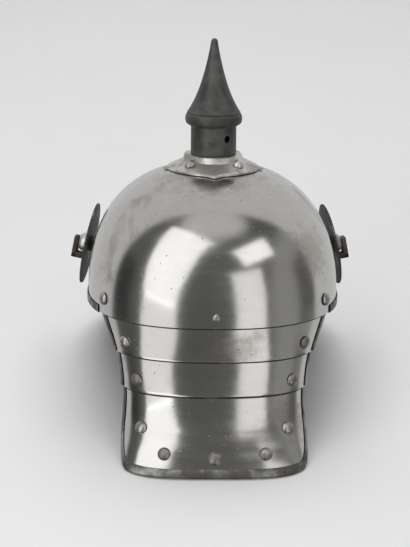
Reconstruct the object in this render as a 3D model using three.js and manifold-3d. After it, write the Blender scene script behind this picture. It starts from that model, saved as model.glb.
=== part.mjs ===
// Cuirassier helmet of sheet steel, resting on the rim of its tail and the edge of its peak.
// Units are millimetres. The helmet is modelled upright, its front towards +Y, with level 0 at
// the widest line of the skull, and is then leaned onto its rests with the rest plane at z = 0.

import * as THREE from 'three';
import { mergeVertices } from 'three/addons/utils/BufferGeometryUtils.js';
import Module from 'manifold-3d';

const wasm = await Module();
wasm.setup();

// Driving dimensions of the sheet metal

const sheet = 1.2;              // thickness of skull, tail plates and peak
const plate_gap = 0.55;         // clearance between two sheets that lie on each other
const seat_gap = 0.3;           // clearance under studs, discs and bindings
const head_gap = 0.6;           // clearance under a rivet's head
const binding_gap = 0.45;       // clearance between a sheet and the strip folded over it

// Skull

const skull_half_width = 98.5;
const skull_half_length = 113;
const skull_height = 100.4;     // from the widest line to the crown
const skull_fullness = 2.36;    // exponent of the rounded form, 2 is an ellipsoid
const skull_edge = 5;           // the lower edge, below the widest line
const vent_radius = 14;         // air hole in the crown, under the spike
const skull_columns = 42;
const skull_rows = 11;

// Tail of two narrow lames and one long plate

const tail_drop = 112.7;        // from the skull's edge to the rim of the tail
const lame_height = 27.5;       // what shows of each narrow lame
const tuck = 17;                // how far a plate reaches under the one above it
const tail_corner = 28;         // radius of the two lower corners
const rim_slope = 0.24;         // rise of the rim towards the front, so that it lies on a table
const shoulder = 7.5;           // a tucked tab is this much narrower on each side
const arc_share = 0.95;         // from a plate's middle round to its side edge, of the half width
const rivet_middle_rise = 12.7; // the middle rivet, above the rim
const bead_rise = 8.5;          // the small head, above the skull's edge

// Bindings, a U section folded over every free edge

const binding_lip = 0.7;        // thickness of the folded strip
const binding_depth = 5.2;      // how far it covers the sheet

// Peak

const peak_reach = 47;          // how far the edge stands out in front of the skull
const peak_drop = 37;           // how far the edge lies below the skull's edge
const peak_half_angle = 68;     // degrees each side of the front
const peak_side_share = 0.06;   // what is left of the brim at its two ends
const peak_roundness = 0.9;     // exponent of its outline seen from above
const peak_columns = 18;
const peak_bound = 0.9;         // share of the half width that the peak's binding covers
const flange_height = 10;       // upright flange inside the skull
const peak_curl = 0.2;          // share of the fall that comes from its downward curve

// Spike

const tip_rise = 99.1;          // the point, above the crown of the skull
const tip_radius = 2.7;
const flare_radius = 21.1;      // of the cone where it meets the ball collar
const flare_rise = 41.1;
const collar_radius = 22.4;     // widest part of the ball collar
const collar_rise = 36.3;
const collar_half_height = 2;
const neck_radius = 17.9;
const neck_rise = 30.6;         // upper end of the neck
const spike_wall = 1.6;
const spike_curve = 0.3;        // share of the cone's radius that the flare near the collar adds
const spike_hollow_share = 0.45; // the hollow ends at this share of the cone, from its tip
const neck_hole_radius = 2.9;   // two air holes in the neck
const neck_hole_rise = 21.6;
const neck_hole_turn = 36;      // degrees round from the back
const spike_sides = 16;

// Spike base

const boss_rise = 8;            // top of the raised ring that carries the spike, above the crown
const boss_radius = 22.8;
const boss_skirt_radius = 23.6; // the ring flares from here down to its foot
const boss_skirt_rise = 3.1;
const boss_foot_radius = 26;
const base_half_width = 36;
const base_half_length = 41;
const base_point = 3.5;         // how far each of the four points stands out
const base_point_width = 11.2;  // degrees each side of a point
const base_sheet = 1.5;
const base_dish = 3;            // the plate stands this far off the crown at the ring's foot
const base_sectors = 32;

// Round heads

const rivet_radius = 5;
const rivet_height = 2.6;
const bead_radius = 3;
const bead_height = 2;
const shank_radius = 1.6;
const shank_end = 0.6;          // how far a shank stands out inside
const stud_radius = 4.6;
const stud_height = 4;
const stud_across = 18.6;        // a stud's distance from the middle line
const stud_along = 22.5;        // and from the line across
const head_sides = 8;
const nut_sides = 8;
const hole_sides = 6;

// Side fittings: a toothed disc clamped on a post, clear of the skull

const cockade_share = 0.495;    // centre of the post, forward of the middle, of the half length
const cockade_level = 21.8;
const cockade_swing = 7;        // degrees that the discs face forward of straight sideways
const cockade_tilt = 11;        // degrees that they face upwards
const disc_lift = 10.2;         // from the skull to the disc, at the post
const hub_lift = 2.4;           // from the skull to the hub that carries the disc
const post_spare = 2.1;         // clearance of the slanting post's foot from the skull
const disc_radius = 33.5;
const tooth_depth = 1.2;
const tooth_count = 34;
const disc_sheet = 1.4;
const post_radius = 3;
const nut_radius = 8.2;
const nut_height = 7.6;
const lug_length = 17.5;
const lug_width = 9;
const lug_height = 4.2;
const lug_drop = 4.9;           // its middle, below the post
const lug_leg = 4.6;            // thickness of the leg that reaches back past the nut

// Levels of the spike and its base

const tip_level = skull_height + tip_rise;
const flare_level = skull_height + flare_rise;
const collar_level = skull_height + collar_rise;
const neck_top = skull_height + neck_rise;
const neck_hole_level = skull_height + neck_hole_rise;
const boss_level = skull_height + boss_rise;
const boss_skirt_level = skull_height + boss_skirt_rise;

const radians = Math.PI / 180;

// Materials

function metal(color, roughness, metalness) {
    return new THREE.MeshStandardMaterial({ color, roughness, metalness });
}

const finishes = {
    steel: () => metal(0xb9bab8, 0.25, 1),
    edging: () => metal(0xa3a19b, 0.35, 1),
    zinc: () => metal(0x54575a, 0.6, 0.7),
    white_metal: () => metal(0xa9a49b, 0.45, 0.9),
    grey_disc: () => metal(0x6e6c69, 0.55, 0.7),
    post: () => metal(0x6b5f52, 0.5, 0.8),
};

// Small helpers for closed meshes

function power(value, exponent) {
    return Math.sign(value) * Math.abs(value) ** exponent;
}

function closedBody(points, triangles) {
    const geometry = new THREE.BufferGeometry();
    geometry.setAttribute('position', new THREE.Float32BufferAttribute(points.flatMap((p) => [p.x, p.y, p.z]), 3));
    let volume = 0;
    for (const [a, b, c] of triangles) {
        volume += points[a].dot(points[b].clone().cross(points[c]));
    }
    geometry.setIndex(triangles.flatMap(([a, b, c]) => (volume > 0 ? [a, b, c] : [a, c, b])));
    return geometry;
}

// A ring of sections joined one to the next. Open rings get a flat cap at both ends.
function loft(sections, closed) {
    const size = sections[0].length;
    const points = sections.flat();
    const triangles = [];
    const joins = closed ? sections.length : sections.length - 1;
    for (let i = 0; i < joins; i += 1) {
        const here = i * size;
        const there = ((i + 1) % sections.length) * size;
        for (let j = 0; j < size; j += 1) {
            const k = (j + 1) % size;
            triangles.push([here + j, here + k, there + k], [here + j, there + k, there + j]);
        }
    }
    if (!closed) {
        const last = (sections.length - 1) * size;
        for (const [a, b, c] of sectionCap(sections[0])) triangles.push([c, b, a]);
        for (const [a, b, c] of sectionCap(sections[0])) triangles.push([last + a, last + b, last + c]);
    }
    return closedBody(points, triangles);
}

// Triangles that fill a flat section, found in the section's own plane.
function sectionCap(section) {
    const normal = new THREE.Vector3();
    section.forEach((p, i) => normal.add(p.clone().cross(section[(i + 1) % section.length])));
    const across = section[1].clone().sub(section[0]).normalize();
    const up = normal.normalize().clone().cross(across);
    const flat = section.map((p) => new THREE.Vector2(p.dot(across), p.dot(up)));
    return THREE.ShapeUtils.triangulateShape(flat, []);
}

// A sheet between an outer and an inner grid of points, closed along its edges.
function sheetBody(outer, inner, wrapped) {
    const rows = outer.length;
    const columns = outer[0].length;
    const points = [...outer.flat(), ...inner.flat()];
    const under = rows * columns;
    const at = (row, column) => row * columns + (column % columns);
    const triangles = [];
    const quad = (a, b, c, d) => triangles.push([a, b, c], [a, c, d]);
    const last = wrapped ? columns : columns - 1;
    for (let row = 0; row < rows - 1; row += 1) {
        for (let column = 0; column < last; column += 1) {
            const [a, b] = [at(row, column), at(row, column + 1)];
            const [c, d] = [at(row + 1, column + 1), at(row + 1, column)];
            quad(a, b, c, d);
            quad(under + d, under + c, under + b, under + a);
        }
    }
    for (let column = 0; column < last; column += 1) {
        const [a, b] = [at(0, column), at(0, column + 1)];
        const [c, d] = [at(rows - 1, column), at(rows - 1, column + 1)];
        quad(under + a, under + b, b, a);
        quad(c, d, under + d, under + c);
    }
    if (!wrapped) {
        for (let row = 0; row < rows - 1; row += 1) {
            const [a, b] = [at(row, 0), at(row + 1, 0)];
            const [c, d] = [at(row, columns - 1), at(row + 1, columns - 1)];
            quad(a, b, under + b, under + a);
            quad(under + c, under + d, d, c);
        }
    }
    return closedBody(points, triangles);
}

// Solids that are cut or joined

function toSolid(geometry) {
    const bare = geometry.clone();
    bare.deleteAttribute('normal');
    bare.deleteAttribute('uv');
    const welded = mergeVertices(bare, 1e-4);
    return new wasm.Manifold(new wasm.Mesh({
        numProp: 3,
        vertProperties: new Float32Array(welded.attributes.position.array),
        triVerts: new Uint32Array(welded.index.array),
    }));
}

function toGeometry(solid) {
    const mesh = solid.getMesh();
    const geometry = new THREE.BufferGeometry();
    geometry.setAttribute('position', new THREE.BufferAttribute(mesh.vertProperties, 3));
    geometry.setIndex(new THREE.BufferAttribute(mesh.triVerts, 1));
    return geometry;
}

function drilled(geometry, drills) {
    let solid = toSolid(geometry);
    for (const drill of drills) solid = solid.subtract(toSolid(drill));
    return toGeometry(solid);
}

// Moves a geometry built along +Z so that it stands at a seat, which has a point and a normal.
function standing(geometry, seat, lift = 0) {
    const turn = new THREE.Quaternion().setFromUnitVectors(new THREE.Vector3(0, 0, 1), seat.normal);
    const place = seat.point.clone().addScaledVector(seat.normal, lift);
    return geometry.applyMatrix4(new THREE.Matrix4().compose(place, turn, new THREE.Vector3(1, 1, 1)));
}

// A turned body. The profile runs down the outside, so it is reversed to face outwards.
function turned(profile, sides) {
    const points = profile.map(([r, z]) => new THREE.Vector2(r, z)).reverse();
    return new THREE.LatheGeometry(points, sides).rotateX(Math.PI / 2);
}

// A drill whose flat sides, not its corners, lie at the radius.
function drill(seat, radius, length) {
    const corner = radius / Math.cos(Math.PI / hole_sides);
    const prism = new THREE.CylinderGeometry(corner, corner, length, hole_sides).rotateX(Math.PI / 2);
    return standing(prism, seat);
}

// The helmet's skin: a section at each level, and a point round each section

function skullRing(level) {
    return (1 - Math.abs(level / skull_height) ** skull_fullness) ** (1 / skull_fullness);
}

// Sections of the tail. drop is a share of tail_drop, width of skull_half_width, rear and depth
// of skull_half_length. reach is the share of the width where the side edge lies.
const tail_sections = [
    { drop: 0.00, width: 0.999, rear: 0.999, depth: 0.999, reach: 0.885, fullness: 2.36 },
    { drop: 0.25, width: 0.805, rear: 0.942, depth: 0.530, reach: 0.955, fullness: 2.40 },
    { drop: 0.49, width: 0.740, rear: 0.932, depth: 0.460, reach: 0.968, fullness: 2.45 },
    { drop: 0.69, width: 0.728, rear: 0.955, depth: 0.430, reach: 0.972, fullness: 2.60 },
    { drop: 0.87, width: 0.746, rear: 1.022, depth: 0.400, reach: 0.978, fullness: 3.20 },
    { drop: 1.00, width: 0.768, rear: 1.080, depth: 0.380, reach: 0.984, fullness: 3.70 },
];

// Smooth value of one column of the table at a share of the drop.
function tableValue(table, column, share) {
    const last = table.length - 1;
    let row = 0;
    while (row < last - 1 && share > table[row + 1].drop) row += 1;
    const [a, b] = [table[row], table[row + 1]];
    const before = table[Math.max(row - 1, 0)];
    const after = table[Math.min(row + 2, last)];
    const span = b.drop - a.drop;
    const t = (share - a.drop) / span;
    const slopeIn = (b[column] - before[column]) / (b.drop - before.drop) * span;
    const slopeOut = (after[column] - a[column]) / (after.drop - a.drop) * span;
    return (2 * t ** 3 - 3 * t ** 2 + 1) * a[column] + (t ** 3 - 2 * t ** 2 + t) * slopeIn
        + (3 * t ** 2 - 2 * t ** 3) * b[column] + (t ** 3 - t ** 2) * slopeOut;
}

function skullSection(level) {
    const ring = skullRing(level);
    const { reach } = tail_sections[0];
    const length = skull_half_length * ring;
    return { width: skull_half_width * ring, rear: length, depth: length, reach, fullness: skull_fullness };
}

function tailSection(level) {
    const share = (-skull_edge - level) / tail_drop;
    if (share <= 0) return skullSection(level);
    const value = (column) => tableValue(tail_sections, column, share);
    return {
        width: skull_half_width * value('width'),
        rear: skull_half_length * value('rear'),
        depth: skull_half_length * value('depth'),
        reach: value('reach'),
        fullness: value('fullness'),
    };
}

// angle is measured from the back, positive towards +X.
function skinPoint(level, angle, sectionAt) {
    const section = sectionAt(level);
    const exponent = 2 / section.fullness;
    return new THREE.Vector3(
        section.width * power(Math.sin(angle), exponent),
        section.depth - section.rear - section.depth * power(Math.cos(angle), exponent),
        level,
    );
}

function sideAngle(level) {
    const section = tailSection(level);
    return Math.asin(section.reach ** (section.fullness / 2));
}

function skinNormal(level, angle, sectionAt) {
    const [step, turn] = [0.05, 0.002];
    const near = (rise, swing) => skinPoint(level + rise, angle + swing, sectionAt);
    const along = near(0, turn).sub(near(0, -turn));
    const down = near(-step, 0).sub(near(step, 0));
    return down.cross(along).normalize();
}

function seatOn(level, angle, offset = 0, sectionAt = skullSection) {
    const normal = skinNormal(level, angle, sectionAt);
    return { point: skinPoint(level, angle, sectionAt).addScaledVector(normal, offset), normal };
}

// Skull

function skullBody(drills) {
    const top = Math.acos((vent_radius / skull_half_width) ** (skull_fullness / 2));
    const bottom = -Math.asin((skull_edge / skull_height) ** (skull_fullness / 2));
    const outer = [];
    const inner = [];
    for (let row = 0; row <= skull_rows; row += 1) {
        const rise = top + (bottom - top) * row / skull_rows;
        const level = skull_height * power(Math.sin(rise), 2 / skull_fullness);
        const seats = [];
        for (let column = 0; column < skull_columns; column += 1) {
            seats.push(seatOn(level, 2 * Math.PI * column / skull_columns));
        }
        outer.push(seats.map((seat) => seat.point));
        inner.push(seats.map((seat) => seat.point.clone().addScaledVector(seat.normal, -sheet)));
    }
    return drilled(sheetBody(outer, inner, true), drills);
}

// Tail plates. u runs from -1 at the left edge to 1 at the right edge.

const half_arc = skull_half_width * arc_share;
const corner_share = tail_corner / half_arc;
const corner_steps = 4;
const middle_steps = 12;

function tailColumns() {
    const columns = [];
    for (let i = 0; i <= middle_steps; i += 1) {
        columns.push((1 - corner_share) * (2 * i / middle_steps - 1));
    }
    for (let i = 1; i <= corner_steps; i += 1) {
        const u = 1 - corner_share + corner_share * Math.sin(Math.PI / 2 * i / corner_steps);
        columns.push(u);
        columns.unshift(-u);
    }
    return columns;
}

const lines = [-skull_edge, -skull_edge - lame_height, -skull_edge - 2 * lame_height];
const step_back = sheet + plate_gap;

// How far plate k lies inside the skin: flush at its lower edge, one step inside at its upper line.
function plateOffset(k, level) {
    if (k < 0) return 0;
    if (level > lines[k]) return plateOffset(k - 1, level) - step_back;
    const lower = k + 1 < lines.length ? lines[k + 1] : lines[k] - lame_height;
    return -step_back * Math.max(0, 1 - (lines[k] - level) / (lines[k] - lower));
}

function rimLevel(u) {
    const rim = -skull_edge - tail_drop;
    const back = skinPoint(rim, 0, tailSection).y;
    const rise = rim_slope * (skinPoint(rim, u * sideAngle(rim), tailSection).y - back);
    const into = Math.max(0, (Math.abs(u) - 1 + corner_share) / corner_share);
    return rim + rise + tail_corner * (1 - Math.sqrt(Math.max(0, 1 - into ** 2)));
}

function plateSeat(k, u, level, narrower = 0) {
    const inset = 1 - narrower / half_arc;
    return seatOn(level, u * sideAngle(level) * inset, plateOffset(k, level), tailSection);
}

function plateBottom(k, u) {
    return k + 1 < lines.length ? lines[k + 1] : rimLevel(u);
}

const lame_rows = 2;
const tail_rows = 5;

function plateBody(k, shown_rows, drills) {
    const narrower = k === 0 ? 0 : shoulder;
    const rows = [];
    for (const share of [1, 0.5, 0]) {
        rows.push((u) => plateSeat(k, u, lines[k] + seat_gap + share * tuck, narrower));
    }
    for (let row = 0; row <= shown_rows; row += 1) {
        rows.push((u) => {
            const top = lines[k] - seat_gap;
            return plateSeat(k, u, top + (plateBottom(k, u) - top) * row / shown_rows);
        });
    }
    const columns = tailColumns();
    const seats = rows.map((row) => columns.map((u) => row(u)));
    const outer = seats.map((row) => row.map((seat) => seat.point));
    const inner = seats.map((row) => row.map((seat) => seat.point.clone().addScaledVector(seat.normal, -sheet)));
    return drilled(sheetBody(outer, inner, false), drills);
}

// Bindings. Each step of a path has a seat on the sheet's edge and one as deep inside as the strip
// reaches, so that the strip follows the sheet's curve.

const slot_half = sheet / 2 + binding_gap;
const strip_half = slot_half + binding_lip;
const crest = binding_gap + binding_lip;
const binding_section = [
    { at: 'deep', across: strip_half, off: 0 },
    { at: 'edge', across: strip_half, off: 0 },
    { at: 'edge', across: strip_half * 0.55, off: crest },
    { at: 'edge', across: -strip_half * 0.55, off: crest },
    { at: 'edge', across: -strip_half, off: 0 },
    { at: 'deep', across: -strip_half, off: 0 },
    { at: 'deep', across: -slot_half, off: 0 },
    { at: 'edge', across: -slot_half, off: binding_gap },
    { at: 'edge', across: slot_half, off: binding_gap },
    { at: 'deep', across: slot_half, off: 0 },
];

function bindingBody(path) {
    const sections = path.map(({ edge, deep }) => {
        const off = edge.point.clone().sub(deep.point).normalize();
        return binding_section.map((corner) => {
            const seat = corner.at === 'edge' ? edge : deep;
            const across = corner.across - sheet / 2;
            return seat.point.clone().addScaledVector(seat.normal, across).addScaledVector(off, corner.off);
        });
    });
    return loft(sections, false);
}

// A path on plate k, from places given as u and level.
function platePath(k, places) {
    const centre = new THREE.Vector2(0, lines[k]);
    const flat = places.map(([u, level]) => new THREE.Vector2(u * half_arc, level));
    return flat.map((place, i) => {
        const before = flat[Math.max(i - 1, 0)];
        const after = flat[Math.min(i + 1, flat.length - 1)];
        const inward = after.clone().sub(before).normalize().rotateAround(new THREE.Vector2(), Math.PI / 2);
        if (inward.dot(centre.clone().sub(place)) < 0) inward.negate();
        const under = place.clone().addScaledVector(inward, binding_depth);
        return {
            edge: plateSeat(k, place.x / half_arc, place.y),
            deep: plateSeat(k, under.x / half_arc, under.y),
        };
    });
}

function sidePlaces(k, side, steps) {
    const top = lines[k] - plate_gap - seat_gap;
    const bottom = k + 1 < lines.length ? lines[k + 1] + seat_gap : rimLevel(side);
    const places = [];
    for (let i = 0; i <= steps; i += 1) places.push([side, top + (bottom - top) * i / steps]);
    return places;
}

function tailEdgePath() {
    const k = lines.length - 1;
    const rim = tailColumns().slice(1, -1).map((u) => [u, rimLevel(u)]);
    return platePath(k, [...sidePlaces(k, -1, tail_rows), ...rim, ...sidePlaces(k, 1, tail_rows).reverse()]);
}

function skullEdgePath(side) {
    const path = [];
    const steps = 8;
    const spare = 2.5 * radians;
    const from = sideAngle(-skull_edge) + spare;
    const to = Math.PI - peak_half_angle * radians - spare;
    for (let i = 0; i <= steps; i += 1) {
        const angle = side * (from + (to - from) * i / steps);
        path.push({ edge: seatOn(-skull_edge, angle), deep: seatOn(-skull_edge + binding_depth, angle) });
    }
    return path;
}

// Peak. u runs from -1 to 1 across the front. w is 0 to 1 on the flange, 1 to 2 on the brim.

function peakAngle(u) {
    return Math.PI - u * peak_half_angle * radians;
}

function peakPoint(u, w) {
    const angle = peakAngle(u);
    const root = seatOn(-skull_edge, angle, -step_back);
    if (w < 1) return seatOn(-skull_edge + flange_height * (1 - w), angle, -step_back).point;
    const out = root.normal.clone().setZ(0).normalize();
    const brim = w - 1;
    const spread = peak_side_share + (1 - peak_side_share) * (1 - u ** 2) ** peak_roundness;
    const fall = plate_gap + peak_drop * spread * (1 - peak_curl + peak_curl * brim) * brim;
    return root.point.addScaledVector(out, peak_reach * spread * brim).add(new THREE.Vector3(0, 0, -fall));
}

function peakSeat(u, w) {
    const step = 0.004;
    const across = peakPoint(u + step, w).sub(peakPoint(u - step, w));
    const along = peakPoint(u, Math.min(w + step, 2)).sub(peakPoint(u, Math.max(w - step, 0)));
    return { point: peakPoint(u, w), normal: across.cross(along).normalize() };
}

function peakBody(drills) {
    const outer = [];
    const inner = [];
    for (const w of [0, 1, 1.15, 1.4, 1.7, 2]) {
        const seats = [];
        for (let column = 0; column <= peak_columns; column += 1) {
            seats.push(peakSeat(0.995 * (2 * column / peak_columns - 1), w));
        }
        outer.push(seats.map((seat) => seat.point));
        inner.push(seats.map((seat) => seat.point.clone().addScaledVector(seat.normal, -sheet)));
    }
    return drilled(sheetBody(outer, inner, false), drills);
}

function peakEdgePath() {
    const path = [];
    for (let column = 0; column <= peak_columns; column += 1) {
        const u = peak_bound * (2 * column / peak_columns - 1);
        const brim = peakPoint(u, 2).distanceTo(peakPoint(u, 1));
        path.push({ edge: peakSeat(u, 2), deep: peakSeat(u, 2 - binding_depth / brim) });
    }
    return path;
}

// Spike: a hollow turned body, open below, with two air holes in its neck

function spikeBody() {
    const outer = [[tip_radius * 0.75, tip_level - tip_radius * 0.35], [tip_radius, tip_level - tip_radius]];
    const long = tip_level - tip_radius - flare_level;
    const flareAt = (s) => (
        tip_radius + (flare_radius - tip_radius) * ((1 - spike_curve) * s ** 1.15 + spike_curve * s ** 4)
    );
    const steps = 6;
    for (let i = 1; i <= steps; i += 1) {
        const s = i / steps;
        outer.push([flareAt(s), tip_level - tip_radius - long * s]);
    }
    outer.push([collar_radius, collar_level + collar_half_height]);
    outer.push([collar_radius, collar_level - collar_half_height], [neck_radius, neck_top]);
    outer.push([neck_radius, boss_level + seat_gap]);
    const inner = [[neck_radius - spike_wall, boss_level + seat_gap], [neck_radius - spike_wall, neck_top]];
    for (const s of [1, (1 + spike_hollow_share) / 2, spike_hollow_share]) {
        inner.push([flareAt(s) - spike_wall, tip_level - tip_radius - long * s]);
    }
    const profile = [[0, tip_level], ...outer, ...inner, [0, inner.at(-1)[1] + 2 * spike_wall]];
    const holes = [0, 180].map((turn) => {
        const angle = (neck_hole_turn + turn) * radians;
        const normal = new THREE.Vector3(Math.sin(angle), -Math.cos(angle), 0);
        const point = normal.clone().multiplyScalar(neck_radius).setZ(neck_hole_level);
        return drill({ point, normal }, neck_hole_radius, 4 * spike_wall);
    });
    return drilled(turned(profile, spike_sides), holes);
}

// Spike base: a raised ring, and a plate with four points that follows the crown

function crownLevel(x, y) {
    const ring = Math.abs(x / skull_half_width) ** skull_fullness + Math.abs(y / skull_half_length) ** skull_fullness;
    return skull_height * (1 - ring) ** (1 / skull_fullness);
}

function baseEdge(angle) {
    const quarter = Math.PI / 2;
    const away = Math.abs(angle / quarter - Math.round(angle / quarter)) * 90;
    const round = 1 / Math.hypot(Math.sin(angle) / base_half_width, Math.cos(angle) / base_half_length);
    return round + base_point * Math.max(0, 1 - away / base_point_width) ** 1.3;
}

// Outer face of the plate between the ring's foot and the edge.
function plateLevel(x, y) {
    const [radius, edge] = [Math.hypot(x, y), baseEdge(Math.atan2(x, -y))];
    const lift = (share) => {
        const reach = boss_foot_radius + (edge - boss_foot_radius) * share;
        return crownLevel(x * reach / radius, y * reach / radius);
    };
    const share = (radius - boss_foot_radius) / (edge - boss_foot_radius);
    const [foot, rim] = [lift(0) + base_dish, lift(1)];
    return foot + (rim - foot) * share + plate_gap + base_sheet;
}

function baseBody(drills) {
    const sections = [];
    for (let i = 0; i < base_sectors; i += 1) {
        const angle = 2 * Math.PI * i / base_sectors;
        const edge = baseEdge(angle);
        const onCrown = (radius, lift) => {
            const [x, y] = [radius * Math.sin(angle), -radius * Math.cos(angle)];
            return new THREE.Vector3(x, y, crownLevel(x, y) + plate_gap + lift);
        };
        const onBoss = (radius, level) => (
            new THREE.Vector3(radius * Math.sin(angle), -radius * Math.cos(angle), level)
        );
        sections.push([
            onBoss(vent_radius, boss_level), onBoss(boss_radius - 1, boss_level), onBoss(boss_radius, boss_level - 1),
            onBoss(boss_skirt_radius, boss_skirt_level),
            onCrown(boss_foot_radius, base_dish + base_sheet), onCrown(edge, base_sheet),
            onCrown(edge, 0), onCrown(boss_foot_radius - base_sheet, base_dish),
            onBoss(boss_radius - 1 - base_sheet, boss_level - base_sheet), onBoss(vent_radius, boss_level - base_sheet),
        ]);
    }
    return drilled(loft(sections, true), drills);
}

// Round heads with a shank through the sheets

function headBody(radius, height, grip) {
    return turned([
        [0, height], [radius * 0.7, height * 0.68], [radius, 0], [shank_radius, 0],
        [shank_radius, -grip], [0, -grip],
    ], head_sides);
}

// Rivets of the tail. across is a share of the half angle, rise is above the line below or the rim.
const tail_rivets = [
    { name: 'rivet_skull', plate: -1, line: -skull_edge, rise: 12, across: 0.95, sheets: 2 },
    { name: 'rivet_lame_upper', plate: 0, line: lines[1], rise: 9.5, across: 0.755, sheets: 2 },
    { name: 'rivet_lame_lower', plate: 1, line: lines[2], rise: 9, across: 0.675, sheets: 2 },
    { name: 'rivet_tail_side', plate: 2, line: -skull_edge - tail_drop, rise: 31.5, across: 0.61, sheets: 1 },
    { name: 'rivet_tail_rim', plate: 2, line: -skull_edge - tail_drop, rise: 15.5, across: 0.28, sheets: 1 },
];

function gripOf(sheets) {
    return sheets * sheet + (sheets - 1) * plate_gap + 2 * head_gap + shank_end;
}

const heads = [];

function addHead(name, seat, radius, height, sheets, plates) {
    const grip = gripOf(sheets);
    heads.push({
        name,
        geometry: standing(headBody(radius, height, grip), seat, head_gap),
        hole: () => drill(seat, shank_radius + seat_gap, 2 * grip + 4),
        plates,
    });
}

for (const rivet of tail_rivets) {
    const level = rivet.line + rivet.rise;
    for (const [side, sign] of [['left', -1], ['right', 1]]) {
        const seat = plateSeat(rivet.plate, sign * rivet.across, level);
        const plates = rivet.sheets === 2 ? [rivet.plate, rivet.plate + 1] : [rivet.plate];
        addHead(`${rivet.name}_${side}`, seat, rivet_radius, rivet_height, rivet.sheets, plates);
    }
}
addHead('rivet_tail_middle', plateSeat(2, 0, lines[0] - tail_drop + rivet_middle_rise), rivet_radius, rivet_height, 1, [2]);
addHead('vent_bead', seatOn(-skull_edge + bead_rise, 0), bead_radius, bead_height, 2, [-1, 0]);

const peak_plate = 'peak';
for (const [name, u] of [['outer_left', -0.82], ['inner_left', -0.3], ['inner_right', 0.3], ['outer_right', 0.82]]) {
    const seat = seatOn(-skull_edge + flange_height / 2, peakAngle(u));
    addHead(`rivet_peak_${name}`, seat, bead_radius, bead_height, 2, [-1, peak_plate]);
}

function holesIn(plate) {
    return heads.filter((head) => head.plates.includes(plate)).map((head) => head.hole());
}

// Studs of the spike base

const studs = [];
const stud_corners = [[1, -1], [1, 1], [-1, 1], [-1, -1]];
for (const [i, corner] of stud_corners.entries()) {
    const [x, y] = [stud_across * corner[0], stud_along * corner[1]];
    const step = 0.5;
    const slope_x = (plateLevel(x + step, y) - plateLevel(x - step, y)) / (2 * step);
    const slope_y = (plateLevel(x, y + step) - plateLevel(x, y - step)) / (2 * step);
    const normal = new THREE.Vector3(-slope_x, -slope_y, 1).normalize();
    const seat = { point: new THREE.Vector3(x, y, plateLevel(x, y)), normal };
    const grip = base_sheet + base_dish + plate_gap + sheet + 2 * head_gap + shank_end;
    studs.push({
        name: `base_stud_${i + 1}`,
        geometry: standing(headBody(stud_radius, stud_height, grip), seat, head_gap),
        hole: () => drill(seat, shank_radius + seat_gap, 2 * grip + 4),
    });
}

// Side fittings

function cockadeSeat(side) {
    const section = skullSection(cockade_level);
    const along = -cockade_share * skull_half_length / section.depth;
    const angle = side * Math.acos(power(along, section.fullness / 2));
    const swing = cockade_swing * radians;
    const tilt = cockade_tilt * radians;
    const level = Math.cos(tilt);
    const normal = new THREE.Vector3(side * level * Math.cos(swing), level * Math.sin(swing), Math.sin(tilt));
    return { point: seatOn(cockade_level, angle).point, normal };
}

function discGeometry(outline, height) {
    const hole = new THREE.Path();
    hole.absarc(0, 0, post_radius + seat_gap, 0, 2 * Math.PI, true);
    const shape = new THREE.Shape(outline);
    shape.holes.push(hole);
    return new THREE.ExtrudeGeometry(shape, { depth: height, bevelEnabled: false, curveSegments: head_sides / 2 });
}

function roundOutline(radius, sides, tooth = 0) {
    const outline = [];
    for (let i = 0; i < sides; i += 1) {
        const angle = 2 * Math.PI * i / sides;
        const r = i % 2 ? radius - tooth : radius;
        outline.push(new THREE.Vector2(r * Math.cos(angle), r * Math.sin(angle)));
    }
    return outline;
}

const nut_lift = disc_lift + disc_sheet + seat_gap;
const lug_lift = nut_lift + nut_height + seat_gap;

function collar(radius, low, high) {
    const core = post_radius - 0.5;
    return turned([[core, high], [radius, high], [radius, low], [core, low], [core, high]], head_sides);
}

function postBody() {
    const inside = sheet + post_spare;
    const top = lug_lift + lug_height / 2;
    const shaft = turned([[0, top], [post_radius, top], [post_radius, -inside - 2], [0, -inside - 2]], head_sides);
    const foot = collar(nut_radius * 0.7, -inside - 2.5, -inside);
    const hub = collar(nut_radius * 0.8, hub_lift, disc_lift - seat_gap);
    const lug = new THREE.BoxGeometry(lug_width, lug_length, lug_height);
    lug.translate(0, -lug_drop, lug_lift + lug_height / 2);
    const leg_height = lug_lift + lug_height - nut_lift - seat_gap;
    const leg = new THREE.BoxGeometry(lug_width, lug_leg, leg_height);
    leg.translate(0, (lug_leg - lug_length) / 2 - lug_drop, lug_lift + lug_height - leg_height / 2);
    return toGeometry([foot, hub, lug, leg].reduce((solid, more) => solid.add(toSolid(more)), toSolid(shaft)));
}

// A frame on the skull's side with its long axis upright and its face along the normal.
function uprightOn(geometry, seat, lift) {
    const up = new THREE.Vector3(0, 0, 1).addScaledVector(seat.normal, -seat.normal.z).normalize();
    const across = up.clone().cross(seat.normal);
    const place = seat.point.clone().addScaledVector(seat.normal, lift);
    const frame = new THREE.Matrix4().makeBasis(across, up, seat.normal).setPosition(place);
    return geometry.applyMatrix4(frame);
}

function nutGeometry() {
    const bore = post_radius + seat_gap;
    return turned([
        [bore, nut_height], [nut_radius * 0.75, nut_height], [nut_radius, nut_height * 0.55], [nut_radius, 0],
        [bore, 0], [bore, nut_height],
    ], nut_sides);
}

// Assembly

const helmet = new THREE.Group();

function add(name, geometry, finish) {
    const mesh = new THREE.Mesh(geometry, finishes[finish]());
    mesh.name = name;
    helmet.add(mesh);
    return mesh;
}

const sides = [['left', -1], ['right', 1]];
const post_holes = sides.map(([, sign]) => drill(cockadeSeat(sign), post_radius + 2 * seat_gap, 14));

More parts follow.
